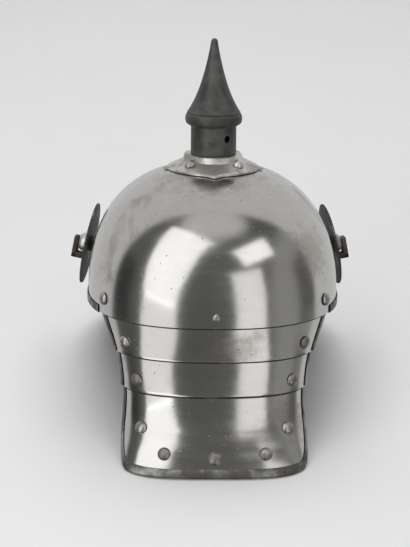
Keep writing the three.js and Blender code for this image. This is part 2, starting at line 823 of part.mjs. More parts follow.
add('skull', skullBody([...holesIn(-1), ...post_holes, ...studs.map((stud) => stud.hole())]), 'steel');
add('lame_upper', plateBody(0, lame_rows, holesIn(0)), 'steel');
add('lame_lower', plateBody(1, lame_rows, holesIn(1)), 'steel');
add('tail_plate', plateBody(2, tail_rows, holesIn(2)), 'steel');
add('peak', peakBody(holesIn(peak_plate)), 'steel');
for (const head of heads) add(head.name, head.geometry, 'steel');

const tail_edge = add('tail_binding', bindingBody(tailEdgePath()), 'edging');
const peak_edge = add('peak_binding', bindingBody(peakEdgePath()), 'edging');
for (const [side, sign] of sides) {
    const upper = platePath(0, sidePlaces(0, sign, lame_rows));
    const lower = platePath(1, sidePlaces(1, sign, lame_rows));
    add(`lame_upper_binding_${side}`, bindingBody(upper), 'edging');
    add(`lame_lower_binding_${side}`, bindingBody(lower), 'edging');
    add(`skull_binding_${side}`, bindingBody(skullEdgePath(sign)), 'edging');
}

add('spike_base', baseBody(studs.map((stud) => stud.hole())), 'white_metal');
for (const stud of studs) add(stud.name, stud.geometry, 'white_metal');
add('spike', spikeBody(), 'zinc');

for (const [side, sign] of sides) {
    const seat = cockadeSeat(sign);
    const disc = discGeometry(roundOutline(disc_radius, 2 * tooth_count, tooth_depth), disc_sheet);
    add(`disc_${side}`, uprightOn(disc, seat, disc_lift), 'grey_disc');
    add(`nut_${side}`, uprightOn(nutGeometry(), seat, nut_lift), 'white_metal');
    add(`post_${side}`, uprightOn(postBody(), seat, 0), 'post');
}

// Lean onto the two rests: the angle at which the tail's rim and the peak's edge are equally low

function lowest(mesh, lean) {
    const position = mesh.geometry.attributes.position;
    let low = Infinity;
    for (let i = 0; i < position.count; i += 1) {
        low = Math.min(low, position.getZ(i) * Math.cos(lean) - position.getY(i) * Math.sin(lean));
    }
    return low;
}

function restingLean() {
    let [less, more] = [0, Math.PI / 4];
    for (let i = 0; i < 40; i += 1) {
        const lean = (less + more) / 2;
        if (lowest(tail_edge, lean) < lowest(peak_edge, lean)) less = lean;
        else more = lean;
    }
    return (less + more) / 2;
}

const lean = restingLean();
const foot_flat = 0.5;          // depth of the flat worn on both rests
const rest_level = lowest(tail_edge, lean) + foot_flat;

// Cuts the flats: everything below the rest plane is taken off both bindings.
const floor_size = 600;
const floor_block = new THREE.BoxGeometry(floor_size, floor_size, floor_size);
floor_block.translate(0, 0, rest_level - floor_size / 2);
floor_block.rotateX(lean);
for (const mesh of [tail_edge, peak_edge]) mesh.geometry = drilled(mesh.geometry, [floor_block]);

helmet.rotation.x = -lean;
helmet.updateMatrixWorld(true);
const box = new THREE.Box3().setFromObject(helmet, true);
helmet.position.set(-(box.min.x + box.max.x) / 2, -(box.min.y + box.max.y) / 2, -rest_level);

const part = new THREE.Group();
part.add(helmet);

export default part;
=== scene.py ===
# %% [markdown]
# # A cuirassier helmet in Blender
# The object is a cavalry helmet of polished steel, seen from behind on a white table. The CAD model
# of the same helmet is loaded as a fixed frame, and each cell dresses one part of it. Sizes are
# written in millimetres, as a helmet maker would give them, and turned into metres at one place.

# %% Load the frame and keep its box
import math

import bmesh
import bpy
from mathutils import Matrix, Vector


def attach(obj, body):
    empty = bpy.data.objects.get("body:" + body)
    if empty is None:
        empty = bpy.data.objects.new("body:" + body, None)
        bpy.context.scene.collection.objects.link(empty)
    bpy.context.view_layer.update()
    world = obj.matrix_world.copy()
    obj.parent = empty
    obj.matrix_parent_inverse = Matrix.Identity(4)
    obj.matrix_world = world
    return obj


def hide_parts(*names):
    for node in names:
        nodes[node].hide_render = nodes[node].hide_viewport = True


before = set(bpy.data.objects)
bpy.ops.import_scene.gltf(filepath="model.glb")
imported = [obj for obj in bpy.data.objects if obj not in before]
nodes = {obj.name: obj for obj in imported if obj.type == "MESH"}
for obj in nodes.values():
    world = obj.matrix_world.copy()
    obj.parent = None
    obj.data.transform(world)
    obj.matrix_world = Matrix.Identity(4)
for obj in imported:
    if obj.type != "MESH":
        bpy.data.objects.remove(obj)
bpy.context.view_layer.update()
print("nodes in the frame:", len(nodes))

# %% [markdown]
# ## Upright and at rest
# The helmet is easiest to describe upright, its front towards +Y and level 0 at the widest line of
# the skull. On the table it leans forwards onto its peak. One matrix does the lean, the move onto the
# table and the change to metres, so every formula below can stay in upright millimetres.

# %% The lean onto the table
lean = math.radians(15.1606)
rest_place = Vector((0.0, 3.5123, 83.7054))
to_rest = Matrix.Scale(0.001, 4) @ Matrix.Translation(rest_place) @ Matrix.Rotation(-lean, 4, "X")
print("crown of the skull at", [round(v, 4) for v in to_rest @ Vector((0, 0, 100.4))])

# %% [markdown]
# ## Camera
# The photograph looks at the tail from slightly above, with a long lens. The camera stands 1.5 m from
# the middle of the helmet. A small roll and shift put the helmet where the photograph has it.

# %% Camera
view_turn = math.radians(2.0)
view_height = math.radians(27.38)
view_roll = math.radians(1.12)
view_distance = 1.5
aim = Vector((0, 0, 0.12))
sensor = 36
focal_pixels = 1897.9
photo_height = 547
photo_middle = (205, 273.5)
lens_middle = (212.9, 249.1)


def new_object(name, data):
    made = bpy.data.objects.new(name, data)
    bpy.context.scene.collection.objects.link(made)
    return made


looking = Vector((math.sin(view_turn) * math.cos(view_height),
                  math.cos(view_turn) * math.cos(view_height), -math.sin(view_height)))
right = looking.cross(Vector((0, 0, 1))).normalized()
up = right.cross(looking)
rolled_right = right * math.cos(view_roll) + up * math.sin(view_roll)
rolled_up = up * math.cos(view_roll) - right * math.sin(view_roll)

camera_data = bpy.data.cameras.new("photo_camera")
camera_data.lens = sensor * focal_pixels / photo_height
camera_data.sensor_width = sensor
camera_data.shift_x = -(lens_middle[0] - photo_middle[0]) / photo_height
camera_data.shift_y = -(photo_middle[1] - lens_middle[1]) / photo_height
camera_data.clip_end = 20
camera = new_object("photo_camera", camera_data)
turn = Matrix((rolled_right, rolled_up, -looking)).transposed().to_4x4()
camera.matrix_world = Matrix.Translation(aim - looking * view_distance) @ turn
bpy.context.scene.camera = camera
print("lens", round(camera_data.lens, 1), "mm, camera at", [round(v, 3) for v in camera.location])

# %% [markdown]
# ## Shading groups
# Every finish here is old metal, so they share five effects: fine scratches along one direction,
# small pits, tarnish in patches, single brown patches and shallow dents. Each is a node group that
# gives only a value, and the material decides what to do with it. The groups read object coordinates
# in metres, so a scratch is as wide as a real one.

# %% A helper for node groups
def value_group(name, numbers):
    """An empty node group with named number inputs and one Value output."""
    tree = bpy.data.node_groups.new(name, "ShaderNodeTree")
    for label, default in numbers.items():
        socket = tree.interface.new_socket(label, in_out="INPUT", socket_type="NodeSocketFloat")
        socket.default_value = default
    tree.interface.new_socket("Value", in_out="OUTPUT", socket_type="NodeSocketFloat")
    return tree, tree.nodes.new("NodeGroupInput"), tree.nodes.new("NodeGroupOutput")


def add_node(tree, kind, links=None, **settings):
    """Adds a node, sets its properties, and links or sets its inputs by name or number."""
    node = tree.nodes.new(kind)
    for key, value in settings.items():
        setattr(node, key, value)
    for key, value in (links or {}).items():
        if isinstance(value, bpy.types.NodeSocket):
            tree.links.new(value, node.inputs[key])
        else:
            node.inputs[key].default_value = value
    return node


def math_node(tree, operation, *values):
    node = add_node(tree, "ShaderNodeMath", dict(enumerate(values)), operation=operation)
    return node.outputs[0]


def plus(tree, a, b):
    return math_node(tree, "ADD", a, b)


def minus(tree, a, b):
    return math_node(tree, "SUBTRACT", a, b)


def times(tree, a, b):
    return math_node(tree, "MULTIPLY", a, b)


def soft_step(tree, value, low, high):
    """0 below low, 1 above high, smooth between."""
    node = add_node(tree, "ShaderNodeMapRange",
                    {"Value": value, "From Min": low, "From Max": high}, interpolation_type="SMOOTHSTEP")
    return node.outputs["Result"]


def object_place(tree):
    return add_node(tree, "ShaderNodeTexCoord").outputs["Object"]


def noise(tree, place, scale, detail, **more):
    """Cloudy noise. scale is in clouds a metre."""
    links = {"Vector": place, "Scale": scale, "Detail": detail, **more}
    return add_node(tree, "ShaderNodeTexNoise", links).outputs["Fac"]


# %% Fine scratches
def make_scratches():
    """Polishing marks: noise drawn out sideways, in two widths."""
    tree, inputs, outputs = value_group("polishing_scratches", {"Across": 900.0, "Along": 25.0})
    along, across = inputs.outputs["Along"], inputs.outputs["Across"]
    # Object coordinates turned back upright, so that Z runs up the helmet
    place = add_node(tree, "ShaderNodeMapping", {"Vector": object_place(tree), "Rotation": (lean, 0, 0)})
    scale = add_node(tree, "ShaderNodeCombineXYZ", {0: along, 1: along, 2: across})
    drawn_out = add_node(tree, "ShaderNodeVectorMath", {0: place.outputs[0], 1: scale.outputs[0]},
                         operation="MULTIPLY").outputs[0]
    total = plus(tree, noise(tree, drawn_out, 1.0, 3.0), noise(tree, drawn_out, 0.23, 2.0))
    tree.links.new(times(tree, total, 0.5), outputs.inputs["Value"])
    return tree


scratches = make_scratches()
print("group", scratches.name)


# %% Pits
def make_pits():
    """Small rust pits: the middles of scattered cells, only where a broad noise allows them."""
    tree, inputs, outputs = value_group("pits", {"Scale": 260.0, "Size": 0.16, "Cover": 0.52})
    size, cover = inputs.outputs["Size"], inputs.outputs["Cover"]
    place = object_place(tree)
    cells = add_node(tree, "ShaderNodeTexVoronoi", {"Vector": place, "Scale": inputs.outputs["Scale"]})
    ragged = times(tree, noise(tree, place, 1500.0, 2.0), 0.12)
    distance = plus(tree, cells.outputs["Distance"], ragged)
    small = minus(tree, 1.0, soft_step(tree, distance, size, plus(tree, size, 0.06)))
    where = soft_step(tree, noise(tree, place, 38.0, 3.0), cover, plus(tree, cover, 0.14))
    tree.links.new(times(tree, small, where), outputs.inputs["Value"])
    return tree


pits = make_pits()
print("group", pits.name)


# %% Tarnish
def make_tarnish():
    """Patches of brown or grey film, cloudy and with torn edges."""
    tree, inputs, outputs = value_group("tarnish_patches", {"Scale": 16.0, "Amount": 0.5})
    clouds = noise(tree, object_place(tree), inputs.outputs["Scale"], 7.0, Roughness=0.62, Distortion=0.4)
    edge = minus(tree, 0.85, times(tree, inputs.outputs["Amount"], 0.5))
    tree.links.new(soft_step(tree, clouds, minus(tree, edge, 0.14), edge), outputs.inputs["Value"])
    return tree


tarnish = make_tarnish()
print("group", tarnish.name)


# %% One brown patch
def make_blush():
    """A patch of film round one place, torn by noise."""
    tree, inputs, outputs = value_group("brown_patch", {"Radius": 0.03})
    tree.interface.new_socket("Middle", in_out="INPUT", socket_type="NodeSocketVector")
    place = object_place(tree)
    away = add_node(tree, "ShaderNodeVectorMath", {0: place, 1: inputs.outputs["Middle"]},
                    operation="DISTANCE")
    share = math_node(tree, "DIVIDE", away.outputs["Value"], inputs.outputs["Radius"])
    torn = plus(tree, noise(tree, place, 95.0, 8.0, Roughness=0.7), 0.12)
    height = minus(tree, torn, times(tree, share, 0.42))
    tree.links.new(times(tree, soft_step(tree, height, 0.25, 0.5), 0.75), outputs.inputs["Value"])
    return tree


blush = make_blush()
print("group", blush.name)


# %% Dents
def make_dents():
    """The shallow waviness of hand-worked sheet, which bends its reflections."""
    tree, inputs, outputs = value_group("sheet_waves", {"Scale": 14.0})
    place = object_place(tree)
    broad = noise(tree, place, inputs.outputs["Scale"], 2.0, Roughness=0.4)
    close = times(tree, noise(tree, place, 75.0, 1.0), 0.12)
    tree.links.new(plus(tree, broad, close), outputs.inputs["Value"])
    return tree


dents = make_dents()
print("group", dents.name)


# %% [markdown]
# ## Metal finishes
# One function lays the five effects over a base metal: tarnish and the brown patches change the colour
# and dull the gloss, scratches vary the gloss and cut a very shallow bump, pits are dark, rough and sunk,
# and dents bend the surface. Each finish is then a short call with its own colours and amounts.

# %% A worn metal
pit_color = (0.03, 0.028, 0.025)
pit_gloss_loss = 0.5
pit_depth = 0.05


def worn_metal(name, base, film, roughness, film_roughness, metallic=1.0, film_amount=0.5, film_scale=16.0,
               scratch_across=900.0, scratch_along=25.0, scratch_gloss=0.12, scratch_depth=0.02,
               pit_size=0.16, pit_scale=260.0, pit_cover=0.52, dent_depth=0.35, mottling=0.08, blushes=()):
    """A metal with scratches, pits, tarnish and dents. Depths are in millimetres.

    blushes are (middle, radius) of brown patches, in upright millimetres."""
    material = bpy.data.materials.new(name)
    material.use_nodes = True
    material.diffuse_color = (*base, 1)
    tree = material.node_tree
    shader = tree.nodes["Principled BSDF"]

    def use(group, **numbers):
        inputs = {key.capitalize(): value for key, value in numbers.items()}
        return add_node(tree, "ShaderNodeGroup", inputs, node_tree=group).outputs["Value"]

    marks = use(scratches, across=scratch_across, along=scratch_along)
    holes = use(pits, size=pit_size, scale=pit_scale, cover=pit_cover)
    patches = use(tarnish, amount=film_amount, scale=film_scale)
    for middle, radius in blushes:
        brown = use(blush, middle=to_rest @ Vector(middle), radius=radius * 0.001)
        patches = math_node(tree, "MAXIMUM", patches, brown)

    mottle = times(tree, noise(tree, object_place(tree), 90.0, 5.0), 2 * mottling)
    shade = plus(tree, 1 - mottling, mottle)
    mixed = add_node(tree, "ShaderNodeMix", {0: patches, 6: (*base, 1), 7: (*film, 1)}, data_type="RGBA")
    shaded = add_node(tree, "ShaderNodeVectorMath", {0: mixed.outputs[2], 1: shade}, operation="MULTIPLY")
    pitted = add_node(tree, "ShaderNodeMix", {0: holes, 6: shaded.outputs[0], 7: (*pit_color, 1)},
                      data_type="RGBA")
    tree.links.new(pitted.outputs[2], shader.inputs["Base Color"])

    gloss = plus(tree, roughness - scratch_gloss / 2, times(tree, marks, scratch_gloss))
    gloss = plus(tree, gloss, times(tree, patches, film_roughness - roughness))
    gloss = plus(tree, gloss, times(tree, holes, pit_gloss_loss))
    tree.links.new(math_node(tree, "MINIMUM", gloss, 1.0), shader.inputs["Roughness"])

    depth = times(tree, use(dents), dent_depth)
    depth = plus(tree, depth, times(tree, marks, scratch_depth))
    depth = minus(tree, depth, times(tree, holes, pit_depth))
    bump = add_node(tree, "ShaderNodeBump", {"Height": depth, "Distance": 0.001, "Strength": 1.0})
    tree.links.new(bump.outputs["Normal"], shader.inputs["Normal"])
    shader.inputs["Metallic"].default_value = metallic
    return material


# %% Steel, bindings, spike and fittings
polished_steel = worn_metal("polished_steel", (0.63, 0.62, 0.605), (0.47, 0.44, 0.40), 0.17, 0.30,
                            film_amount=0.30, film_scale=17.0, scratch_gloss=0.16, scratch_depth=0.012,
                            pit_size=0.10, pit_scale=170.0, pit_cover=0.40, dent_depth=0.5, mottling=0.06,
                            blushes=[((74, -72, 46), 30), ((58, -90, -82), 24), ((0, -25, 97), 58)])
# The dark band in the step below each plate's edge is painted shade, with some dirt.
step_shade_and_dirt = worn_metal("step_shade_and_dirt", (0.10, 0.095, 0.085), (0.05, 0.042, 0.035), 0.6, 0.75, metallic=0.5,
                       film_amount=0.6, film_scale=60.0, dent_depth=0.1)
rivet_steel = worn_metal("rivet_steel", (0.52, 0.51, 0.49), (0.30, 0.28, 0.25), 0.36, 0.55,
                         film_amount=0.55, film_scale=70.0, dent_depth=0.15, mottling=0.15)
inner_steel = worn_metal("inner_steel", (0.30, 0.28, 0.25), (0.13, 0.095, 0.07), 0.5, 0.75,
                         film_amount=0.75, film_scale=22.0, dent_depth=0.5)
edge_strip = worn_metal("edge_strip", (0.33, 0.325, 0.31), (0.16, 0.15, 0.135), 0.34, 0.5,
                        film_amount=0.6, film_scale=40.0, dent_depth=0.25, mottling=0.2)
spike_zinc = worn_metal("spike_zinc", (0.078, 0.076, 0.073), (0.135, 0.133, 0.13), 0.48, 0.60, metallic=0.6,
                        film_amount=0.55, film_scale=30.0, scratch_across=60.0, scratch_along=700.0,
                        scratch_gloss=0.2, dent_depth=0.15, mottling=0.25)
base_metal = worn_metal("base_metal", (0.80, 0.785, 0.75), (0.50, 0.48, 0.44), 0.42, 0.55,
                        film_amount=0.55, film_scale=35.0, dent_depth=0.25, mottling=0.15)
grey_lacquer = worn_metal("grey_lacquer", (0.20, 0.197, 0.19), (0.07, 0.069, 0.067), 0.5, 0.6, metallic=0.35,
                          film_amount=0.7, film_scale=55.0, dent_depth=0.2, mottling=0.25)
brown_fitting = worn_metal("brown_fitting", (0.17, 0.15, 0.135), (0.10, 0.075, 0.055), 0.45, 0.6,
                           metallic=0.8, film_amount=0.6, film_scale=60.0, dent_depth=0.15)
print("finishes:", [m.name for m in bpy.data.materials if m.users == 0])


# %% [markdown]
# ## Making pieces
# A piece is a mesh whose points are given in upright millimetres. The helper below moves them to their
# place at rest, so that each object sits at the origin, unturned and unscaled. It then hides the CAD
# nodes that the piece stands for.

# %% Helpers that make a piece
fold_angle = 32


def solid_mesh(name, points, faces, cut_at_table=False):
    """A mesh with its faces turned outwards, and with a flat underside if it is cut at the table."""
    mesh = bpy.data.meshes.new(name)
    mesh.from_pydata(points, [], faces)
    edit = bmesh.new()
    edit.from_mesh(mesh)
    if cut_at_table:
        every = edit.verts[:] + edit.edges[:] + edit.faces[:]
        cut = bmesh.ops.bisect_plane(edit, geom=every, plane_co=(0, 0, 0), plane_no=(0, 0, -1),
                                     clear_outer=True)
        rim = [e for e in cut["geom_cut"] if isinstance(e, bmesh.types.BMEdge)]
        bmesh.ops.holes_fill(edit, edges=rim, sides=0)
    bmesh.ops.recalc_face_normals(edit, faces=edit.faces)
    edit.to_mesh(mesh)
    edit.free()
    return mesh


def hand_over(piece, stands_for):
    """The whole helmet is one body, so every piece rides on the root."""
    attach(piece, "root")
    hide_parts(*stands_for)
    print(f"{piece.name}: {len(piece.data.polygons)} faces, for {len(stands_for)} nodes")
    return piece


def make_piece(name, points, faces, materials, slot, stands_for, face_materials=None, on_table=False):
    mesh = solid_mesh(name, [to_rest @ Vector(p) for p in points], faces, on_table)
    for material in materials:
        mesh.materials.append(material)
    if face_materials:
        mesh.polygons.foreach_set("material_index", face_materials)
    for polygon in mesh.polygons:
        polygon.use_smooth = True
    sharpen(mesh, fold_angle)
    return hand_over(new_object(name, mesh), stands_for)


def take_result(piece):
    """Makes the result of a piece's modifiers its plain mesh."""
    bpy.context.view_layer.update()
    made = bpy.data.meshes.new_from_object(piece.evaluated_get(bpy.context.evaluated_depsgraph_get()))
    piece.modifiers.clear()
    piece.data = made
    return made


def sharpen(mesh, degrees):
    """Marks an edge sharp where its two faces meet at more than the given angle."""
    edit = bmesh.new()
    edit.from_mesh(mesh)
    for edge in edit.edges:
        if len(edge.link_faces) == 2 and edge.calc_face_angle() > math.radians(degrees):
            edge.smooth = False
    edit.to_mesh(mesh)
    edit.free()


def sheet_faces(rows, columns, wrapped):
    """Faces of a sheet between an outer grid and an inner grid that follows it, and which of the two."""
    under = rows * columns
    last = columns if wrapped else columns - 1
    faces, sides = [], []

    def at(row, column):
        return row * columns + column % columns

    for row in range(rows - 1):
        for column in range(last):
            a, b, c, d = at(row, column), at(row, column + 1), at(row + 1, column + 1), at(row + 1, column)
            faces += [(a, b, c, d), (under + d, under + c, under + b, under + a)]
            sides += [0, 1]
    for column in range(last):
        a, b, c, d = at(0, column), at(0, column + 1), at(rows - 1, column + 1), at(rows - 1, column)
        faces += [(under + a, under + b, b, a), (c, d, under + d, under + c)]
        sides += [0, 0]
    if not wrapped:
        for row in range(rows - 1):
            a, b = at(row, 0), at(row + 1, 0)
            c, d = at(row, columns - 1), at(row + 1, columns - 1)
            faces += [(a, b, under + b, under + a), (under + c, under + d, d, c)]
            sides += [0, 0]
    return faces, sides


def sheet_piece(name, seats, wrapped, stands_for, thickness, shade_and_dirt_rows=0):
    """A sheet of steel: polished outside, dull inside, and darkened over its first rows by painted shade and
    dirt.
    """
    rows, columns = len(seats), len(seats[0])
    outer = [point for row in seats for point, normal in row]
    inner = [point - normal * thickness for row in seats for point, normal in row]
    faces, sides = sheet_faces(rows, columns, wrapped)
    across = columns if wrapped else columns - 1
    # The first rows under the plate above get the painted shade and dirt.
    sides[:2 * across * shade_and_dirt_rows:2] = [2] * (across * shade_and_dirt_rows)
    return make_piece(name, outer + inner, faces, [polished_steel, inner_steel, step_shade_and_dirt], "steel",
                      stands_for, face_materials=sides)


# %% [markdown]
# ## The skin of the helmet
# The skull is a superellipsoid: like an ellipsoid, but fuller at its shoulders. Below its edge the tail
# goes on as a row of sections that narrow to the neck and flare to the rim. A point of the skin is found
# from its level and its angle round from the back, and its normal from four points close by.

# %% Sizes of the sheet metal
sheet = 1.2
plate_gap = 0.55
seat_gap = 0.3
head_gap = 0.6
binding_gap = 0.45
skull_half_width = 98.5
skull_half_length = 113
skull_height = 100.4
skull_fullness = 2.36
skull_edge = 5
tail_drop = 112.7
lame_height = 27.5
tuck = 17
tail_corner = 28
rim_slope = 0.24
shoulder = 7.5
half_arc = 0.95 * skull_half_width
step_back = sheet + plate_gap
lines = [-skull_edge, -skull_edge - lame_height, -skull_edge - 2 * lame_height]
both_sides = (("left", -1), ("right", 1))

# Sections of the tail as shares of the sizes above: drop, width, rear, depth, reach, fullness
tail_sections = [
    (0.00, 0.999, 0.999, 0.999, 0.885, 2.36),
    (0.25, 0.805, 0.942, 0.530, 0.955, 2.40),
    (0.49, 0.740, 0.932, 0.460, 0.968, 2.45),
    (0.69, 0.728, 0.955, 0.430, 0.972, 2.60),
    (0.87, 0.746, 1.022, 0.400, 0.978, 3.20),
    (1.00, 0.768, 1.080, 0.380, 0.984, 3.70),
]


# %% Sections and skin
def power(value, exponent):
    return math.copysign(abs(value) ** exponent, value)


def between(share, column):
    """A smooth value of one column of the tail's sections at a share of the drop."""
    last = len(tail_sections) - 1
    row = 0
    while row < last - 1 and share > tail_sections[row + 1][0]:
        row += 1
    a, b = tail_sections[row], tail_sections[row + 1]
    before, after = tail_sections[max(row - 1, 0)], tail_sections[min(row + 2, last)]
    span = b[0] - a[0]
    t = (share - a[0]) / span
    slope_in = (b[column] - before[column]) / (b[0] - before[0]) * span
    slope_out = (after[column] - a[column]) / (after[0] - a[0]) * span
    return ((2 * t ** 3 - 3 * t ** 2 + 1) * a[column] + (t ** 3 - 2 * t ** 2 + t) * slope_in
            + (3 * t ** 2 - 2 * t ** 3) * b[column] + (t ** 3 - t ** 2) * slope_out)


def skull_section(level):
    ring = (1 - abs(level / skull_height) ** skull_fullness) ** (1 / skull_fullness)
    length = skull_half_length * ring
    return skull_half_width * ring, length, length, tail_sections[0][4], skull_fullness


def tail_section(level):
    share = (-skull_edge - level) / tail_drop
    if share <= 0:
        return skull_section(level)
    width, rear, depth, reach, fullness = (between(share, column) for column in range(1, 6))
    return skull_half_width * width, skull_half_length * rear, skull_half_length * depth, reach, fullness


def skin_point(level, angle, section_at):
    width, rear, depth, _, fullness = section_at(level)
    exponent = 2 / fullness
    return Vector((width * power(math.sin(angle), exponent),
                   depth - rear - depth * power(math.cos(angle), exponent), level))


def seat_on(level, angle, offset=0.0, section_at=skull_section):
    """A point on the skin, or offset from it, and the skin's normal there."""
    rise, swing = 0.05, 0.002
    along = skin_point(level, angle + swing, section_at) - skin_point(level, angle - swing, section_at)
    down = skin_point(level - rise, angle, section_at) - skin_point(level + rise, angle, section_at)
    normal = down.cross(along).normalized()
    return skin_point(level, angle, section_at) + normal * offset, normal


def side_angle(level):
    section = tail_section(level)
    return math.asin(section[3] ** (section[4] / 2))


rim_back = skin_point(-skull_edge - tail_drop, 0, tail_section)
print("skin at the back of the rim:", [round(v, 1) for v in rim_back])

# %% [markdown]
# ## Skull
# The bowl of a real helmet is spun or raised from one sheet. Here it is one grid of points, 1.2 mm thick,
# open below and with an air hole under the spike. The grid is fine enough that its mirror finish shows no
# facets. Levels are spaced by angle, so that the rows stay evenly spaced over the crown.

# %% Skull
vent_radius = 14


def skull_seats(columns=176, rows=64):
    top = math.acos((vent_radius / skull_half_width) ** (skull_fullness / 2))
    bottom = -math.asin((skull_edge / skull_height) ** (skull_fullness / 2))
    seats = []
    for row in range(rows + 1):
        rise = top + (bottom - top) * row / rows
        level = skull_height * power(math.sin(rise), 2 / skull_fullness)
        seats.append([seat_on(level, 2 * math.pi * column / columns) for column in range(columns)])
    return seats


sheet_piece("skull_shell", skull_seats(), True, ["skull"], sheet)


# %% [markdown]
# ## Tail
# Three plates overlap like roof tiles: each one is tucked under the plate above and comes flush with the
# skin at its lower edge. The last one flares out to a rim with two rounded corners, and the rim is cut so
# that it lies on the table.

# %% Where the plates lie
def plate_offset(k, level):
    if k < 0:
        return 0.0
    if level > lines[k]:
        return plate_offset(k - 1, level) - step_back
    lower = lines[k + 1] if k + 1 < len(lines) else lines[k] - lame_height
    return -step_back * max(0.0, 1 - (lines[k] - level) / (lines[k] - lower))


def rim_level(u):
    rim = -skull_edge - tail_drop
    back = skin_point(rim, 0, tail_section).y
    rise = rim_slope * (skin_point(rim, u * side_angle(rim), tail_section).y - back)
    into = max(0.0, (abs(u) - 1 + tail_corner / half_arc) * half_arc / tail_corner)
    return rim + rise + tail_corner * (1 - math.sqrt(max(0.0, 1 - into ** 2)))


def plate_seat(k, u, level, narrower=0.0):
    inset = 1 - narrower / half_arc
    return seat_on(level, u * side_angle(level) * inset, plate_offset(k, level), tail_section)


def plate_bottom(k, u):
    return lines[k + 1] if k + 1 < len(lines) else rim_level(u)


def plate_columns(middle=56, corner=16):
    share = tail_corner / half_arc
    inner = [(1 - share) * (2 * i / middle - 1) for i in range(middle + 1)]
    outer = [1 - share + share * math.sin(math.pi / 2 * i / corner) for i in range(1, corner + 1)]
    return [-u for u in reversed(outer)] + inner + outer


# %% Tail plates
# Width of the band of painted shade and dirt below the plate above
shade_band_width = 1.6
lip_width = 1.6
lip_lift = 0.3


def plate_piece(k, name, node, shown_rows):
    """Painted shade and dirt darken the step below the plate above. The lower edge of a lame turns out a
    little.
    """
    narrower = 0.0 if k == 0 else shoulder
    rows = []
    for share in (1, 0.75, 0.5, 0.25, 0):
        level = lines[k] + seat_gap + share * tuck
        rows.append([plate_seat(k, u, level, narrower) for u in plate_columns()])
    top = lines[k] - seat_gap
    rows.append([plate_seat(k, u, top) for u in plate_columns()])
    for row in range(shown_rows + 1):
        share = row / shown_rows
        rows.append([plate_seat(k, u, top - shade_band_width + (plate_bottom(k, u) - top + shade_band_width) * share)
                     for u in plate_columns()])
    if k < 2:
        last = rows.pop()
        for i in range(5):
            rise = lip_width * (1 - i / 4)
            lift = lip_lift * (i / 4) ** 2
            turned = []
            for (point, normal), u in zip(last, plate_columns()):
                raised = plate_seat(k, u, plate_bottom(k, u) + rise)
                turned.append((raised[0] + raised[1] * lift, raised[1]))
            rows.append(turned)
    return sheet_piece(name, rows, False, [node], sheet, shade_and_dirt_rows=6)


plate_piece(0, "upper_lame", "lame_upper", 12)
plate_piece(1, "lower_lame", "lame_lower", 12)
plate_piece(2, "tail_flare", "tail_plate", 36)


# %% [markdown]
# ## Peak
# The peak is at the front, away from the camera. It is one sheet with an upright flange, riveted inside
# the skull, and a brim that falls forwards. The same formulas as for the solid give its smooth form.

# %% Peak
peak_reach = 47
peak_drop = 37
peak_half_angle = math.radians(68)
peak_side_share = 0.06
peak_roundness = 0.9
peak_curl = 0.2
flange_height = 10
peak_bound = 0.9


def peak_angle(u):
    return math.pi - u * peak_half_angle


def peak_point(u, w):
    """w runs from 0 to 1 down the flange and from 1 to 2 over the brim."""
    angle = peak_angle(u)
    if w < 1:
        return seat_on(-skull_edge + flange_height * (1 - w), angle, -step_back)[0]
    root, normal = seat_on(-skull_edge, angle, -step_back)
    out = Vector((normal.x, normal.y, 0)).normalized()
    brim = w - 1
    spread = peak_side_share + (1 - peak_side_share) * (1 - u ** 2) ** peak_roundness
    fall = plate_gap + peak_drop * spread * (1 - peak_curl + peak_curl * brim) * brim
    return root + out * (peak_reach * spread * brim) - Vector((0, 0, fall))


def peak_seat(u, w):
    step = 0.004
    across = peak_point(u + step, w) - peak_point(u - step, w)
    along = peak_point(u, min(w + step, 2)) - peak_point(u, max(w - step, 0))
    return peak_point(u, w), across.cross(along).normalized()


brim_rows = [0, 0.5, 0.96, 1.04] + [1.04 + 0.96 * i / 16 for i in range(1, 17)]
peak_rows = [[peak_seat(0.995 * (2 * i / 80 - 1), w) for i in range(81)] for w in brim_rows]
sheet_piece("peak_sheet", peak_rows, False, ["peak"], sheet)


# %% [markdown]
# ## Folded edge strips
# Every free edge is hidden in a strip folded over it, like the hem of a cloth. It is a U section swept
# along the edge. The outer face of the U is rounded here, because the strip catches a bright line of light
# on its crest. Sheet sizes decide the section, so the strip always sits clear of the sheet.

# %% The section and its sweep
binding_lip = 0.7
binding_depth = 5.2
slot_half = sheet / 2 + binding_gap
strip_margin = 0.18
strip_bulge = 0.12
strip_taper = 0.35
strip_half = slot_half + binding_lip - strip_margin
crest = binding_gap + binding_lip - strip_margin


def strip_section():
    """Corners of the U as (place, across, off): place is 0 deep inside the sheet and 1 on its edge."""
    outer = [(0.0, strip_half - strip_taper, 0.0), (0.12, strip_half, 0.0),
             (0.55, strip_half + strip_bulge, 0.0), (1.0, strip_half, 0.0)]
    steps = 8
    for i in range(1, steps):
        angle = math.pi * i / steps
        outer.append((1.0, strip_half * math.cos(angle), crest * math.sin(angle) ** 0.8))
    outer += [(1.0, -strip_half, 0.0), (0.12, -strip_half, 0.0), (0.0, -strip_half + strip_taper, 0.0)]
    inner = [(0.0, -slot_half, 0.0), (1.0, -slot_half, binding_gap),
             (1.0, slot_half, binding_gap), (0.0, slot_half, 0.0)]
    return outer + inner


def strip_piece(name, path, node, on_table=False):
    """path is a row of (edge seat, deep seat)."""
    section = strip_section()
    size = len(section)
    points = []
    for (edge, edge_normal), (deep, deep_normal) in path:
        off = (edge - deep).normalized()
        for place, across, lift in section:
            normal = deep_normal.lerp(edge_normal, place).normalized()
            points.append(deep.lerp(edge, place) + normal * (across - sheet / 2) + off * lift)
    faces = []
    for i in range(len(path) - 1):
        for j in range(size):
            a, b = i * size + j, i * size + (j + 1) % size
            faces.append((a, b, b + size, a + size))
    end = (len(path) - 1) * size
    faces += [tuple(reversed(range(size))), tuple(range(end, end + size))]
    return make_piece(name, points, faces, [edge_strip], "edging", [node], on_table=on_table)


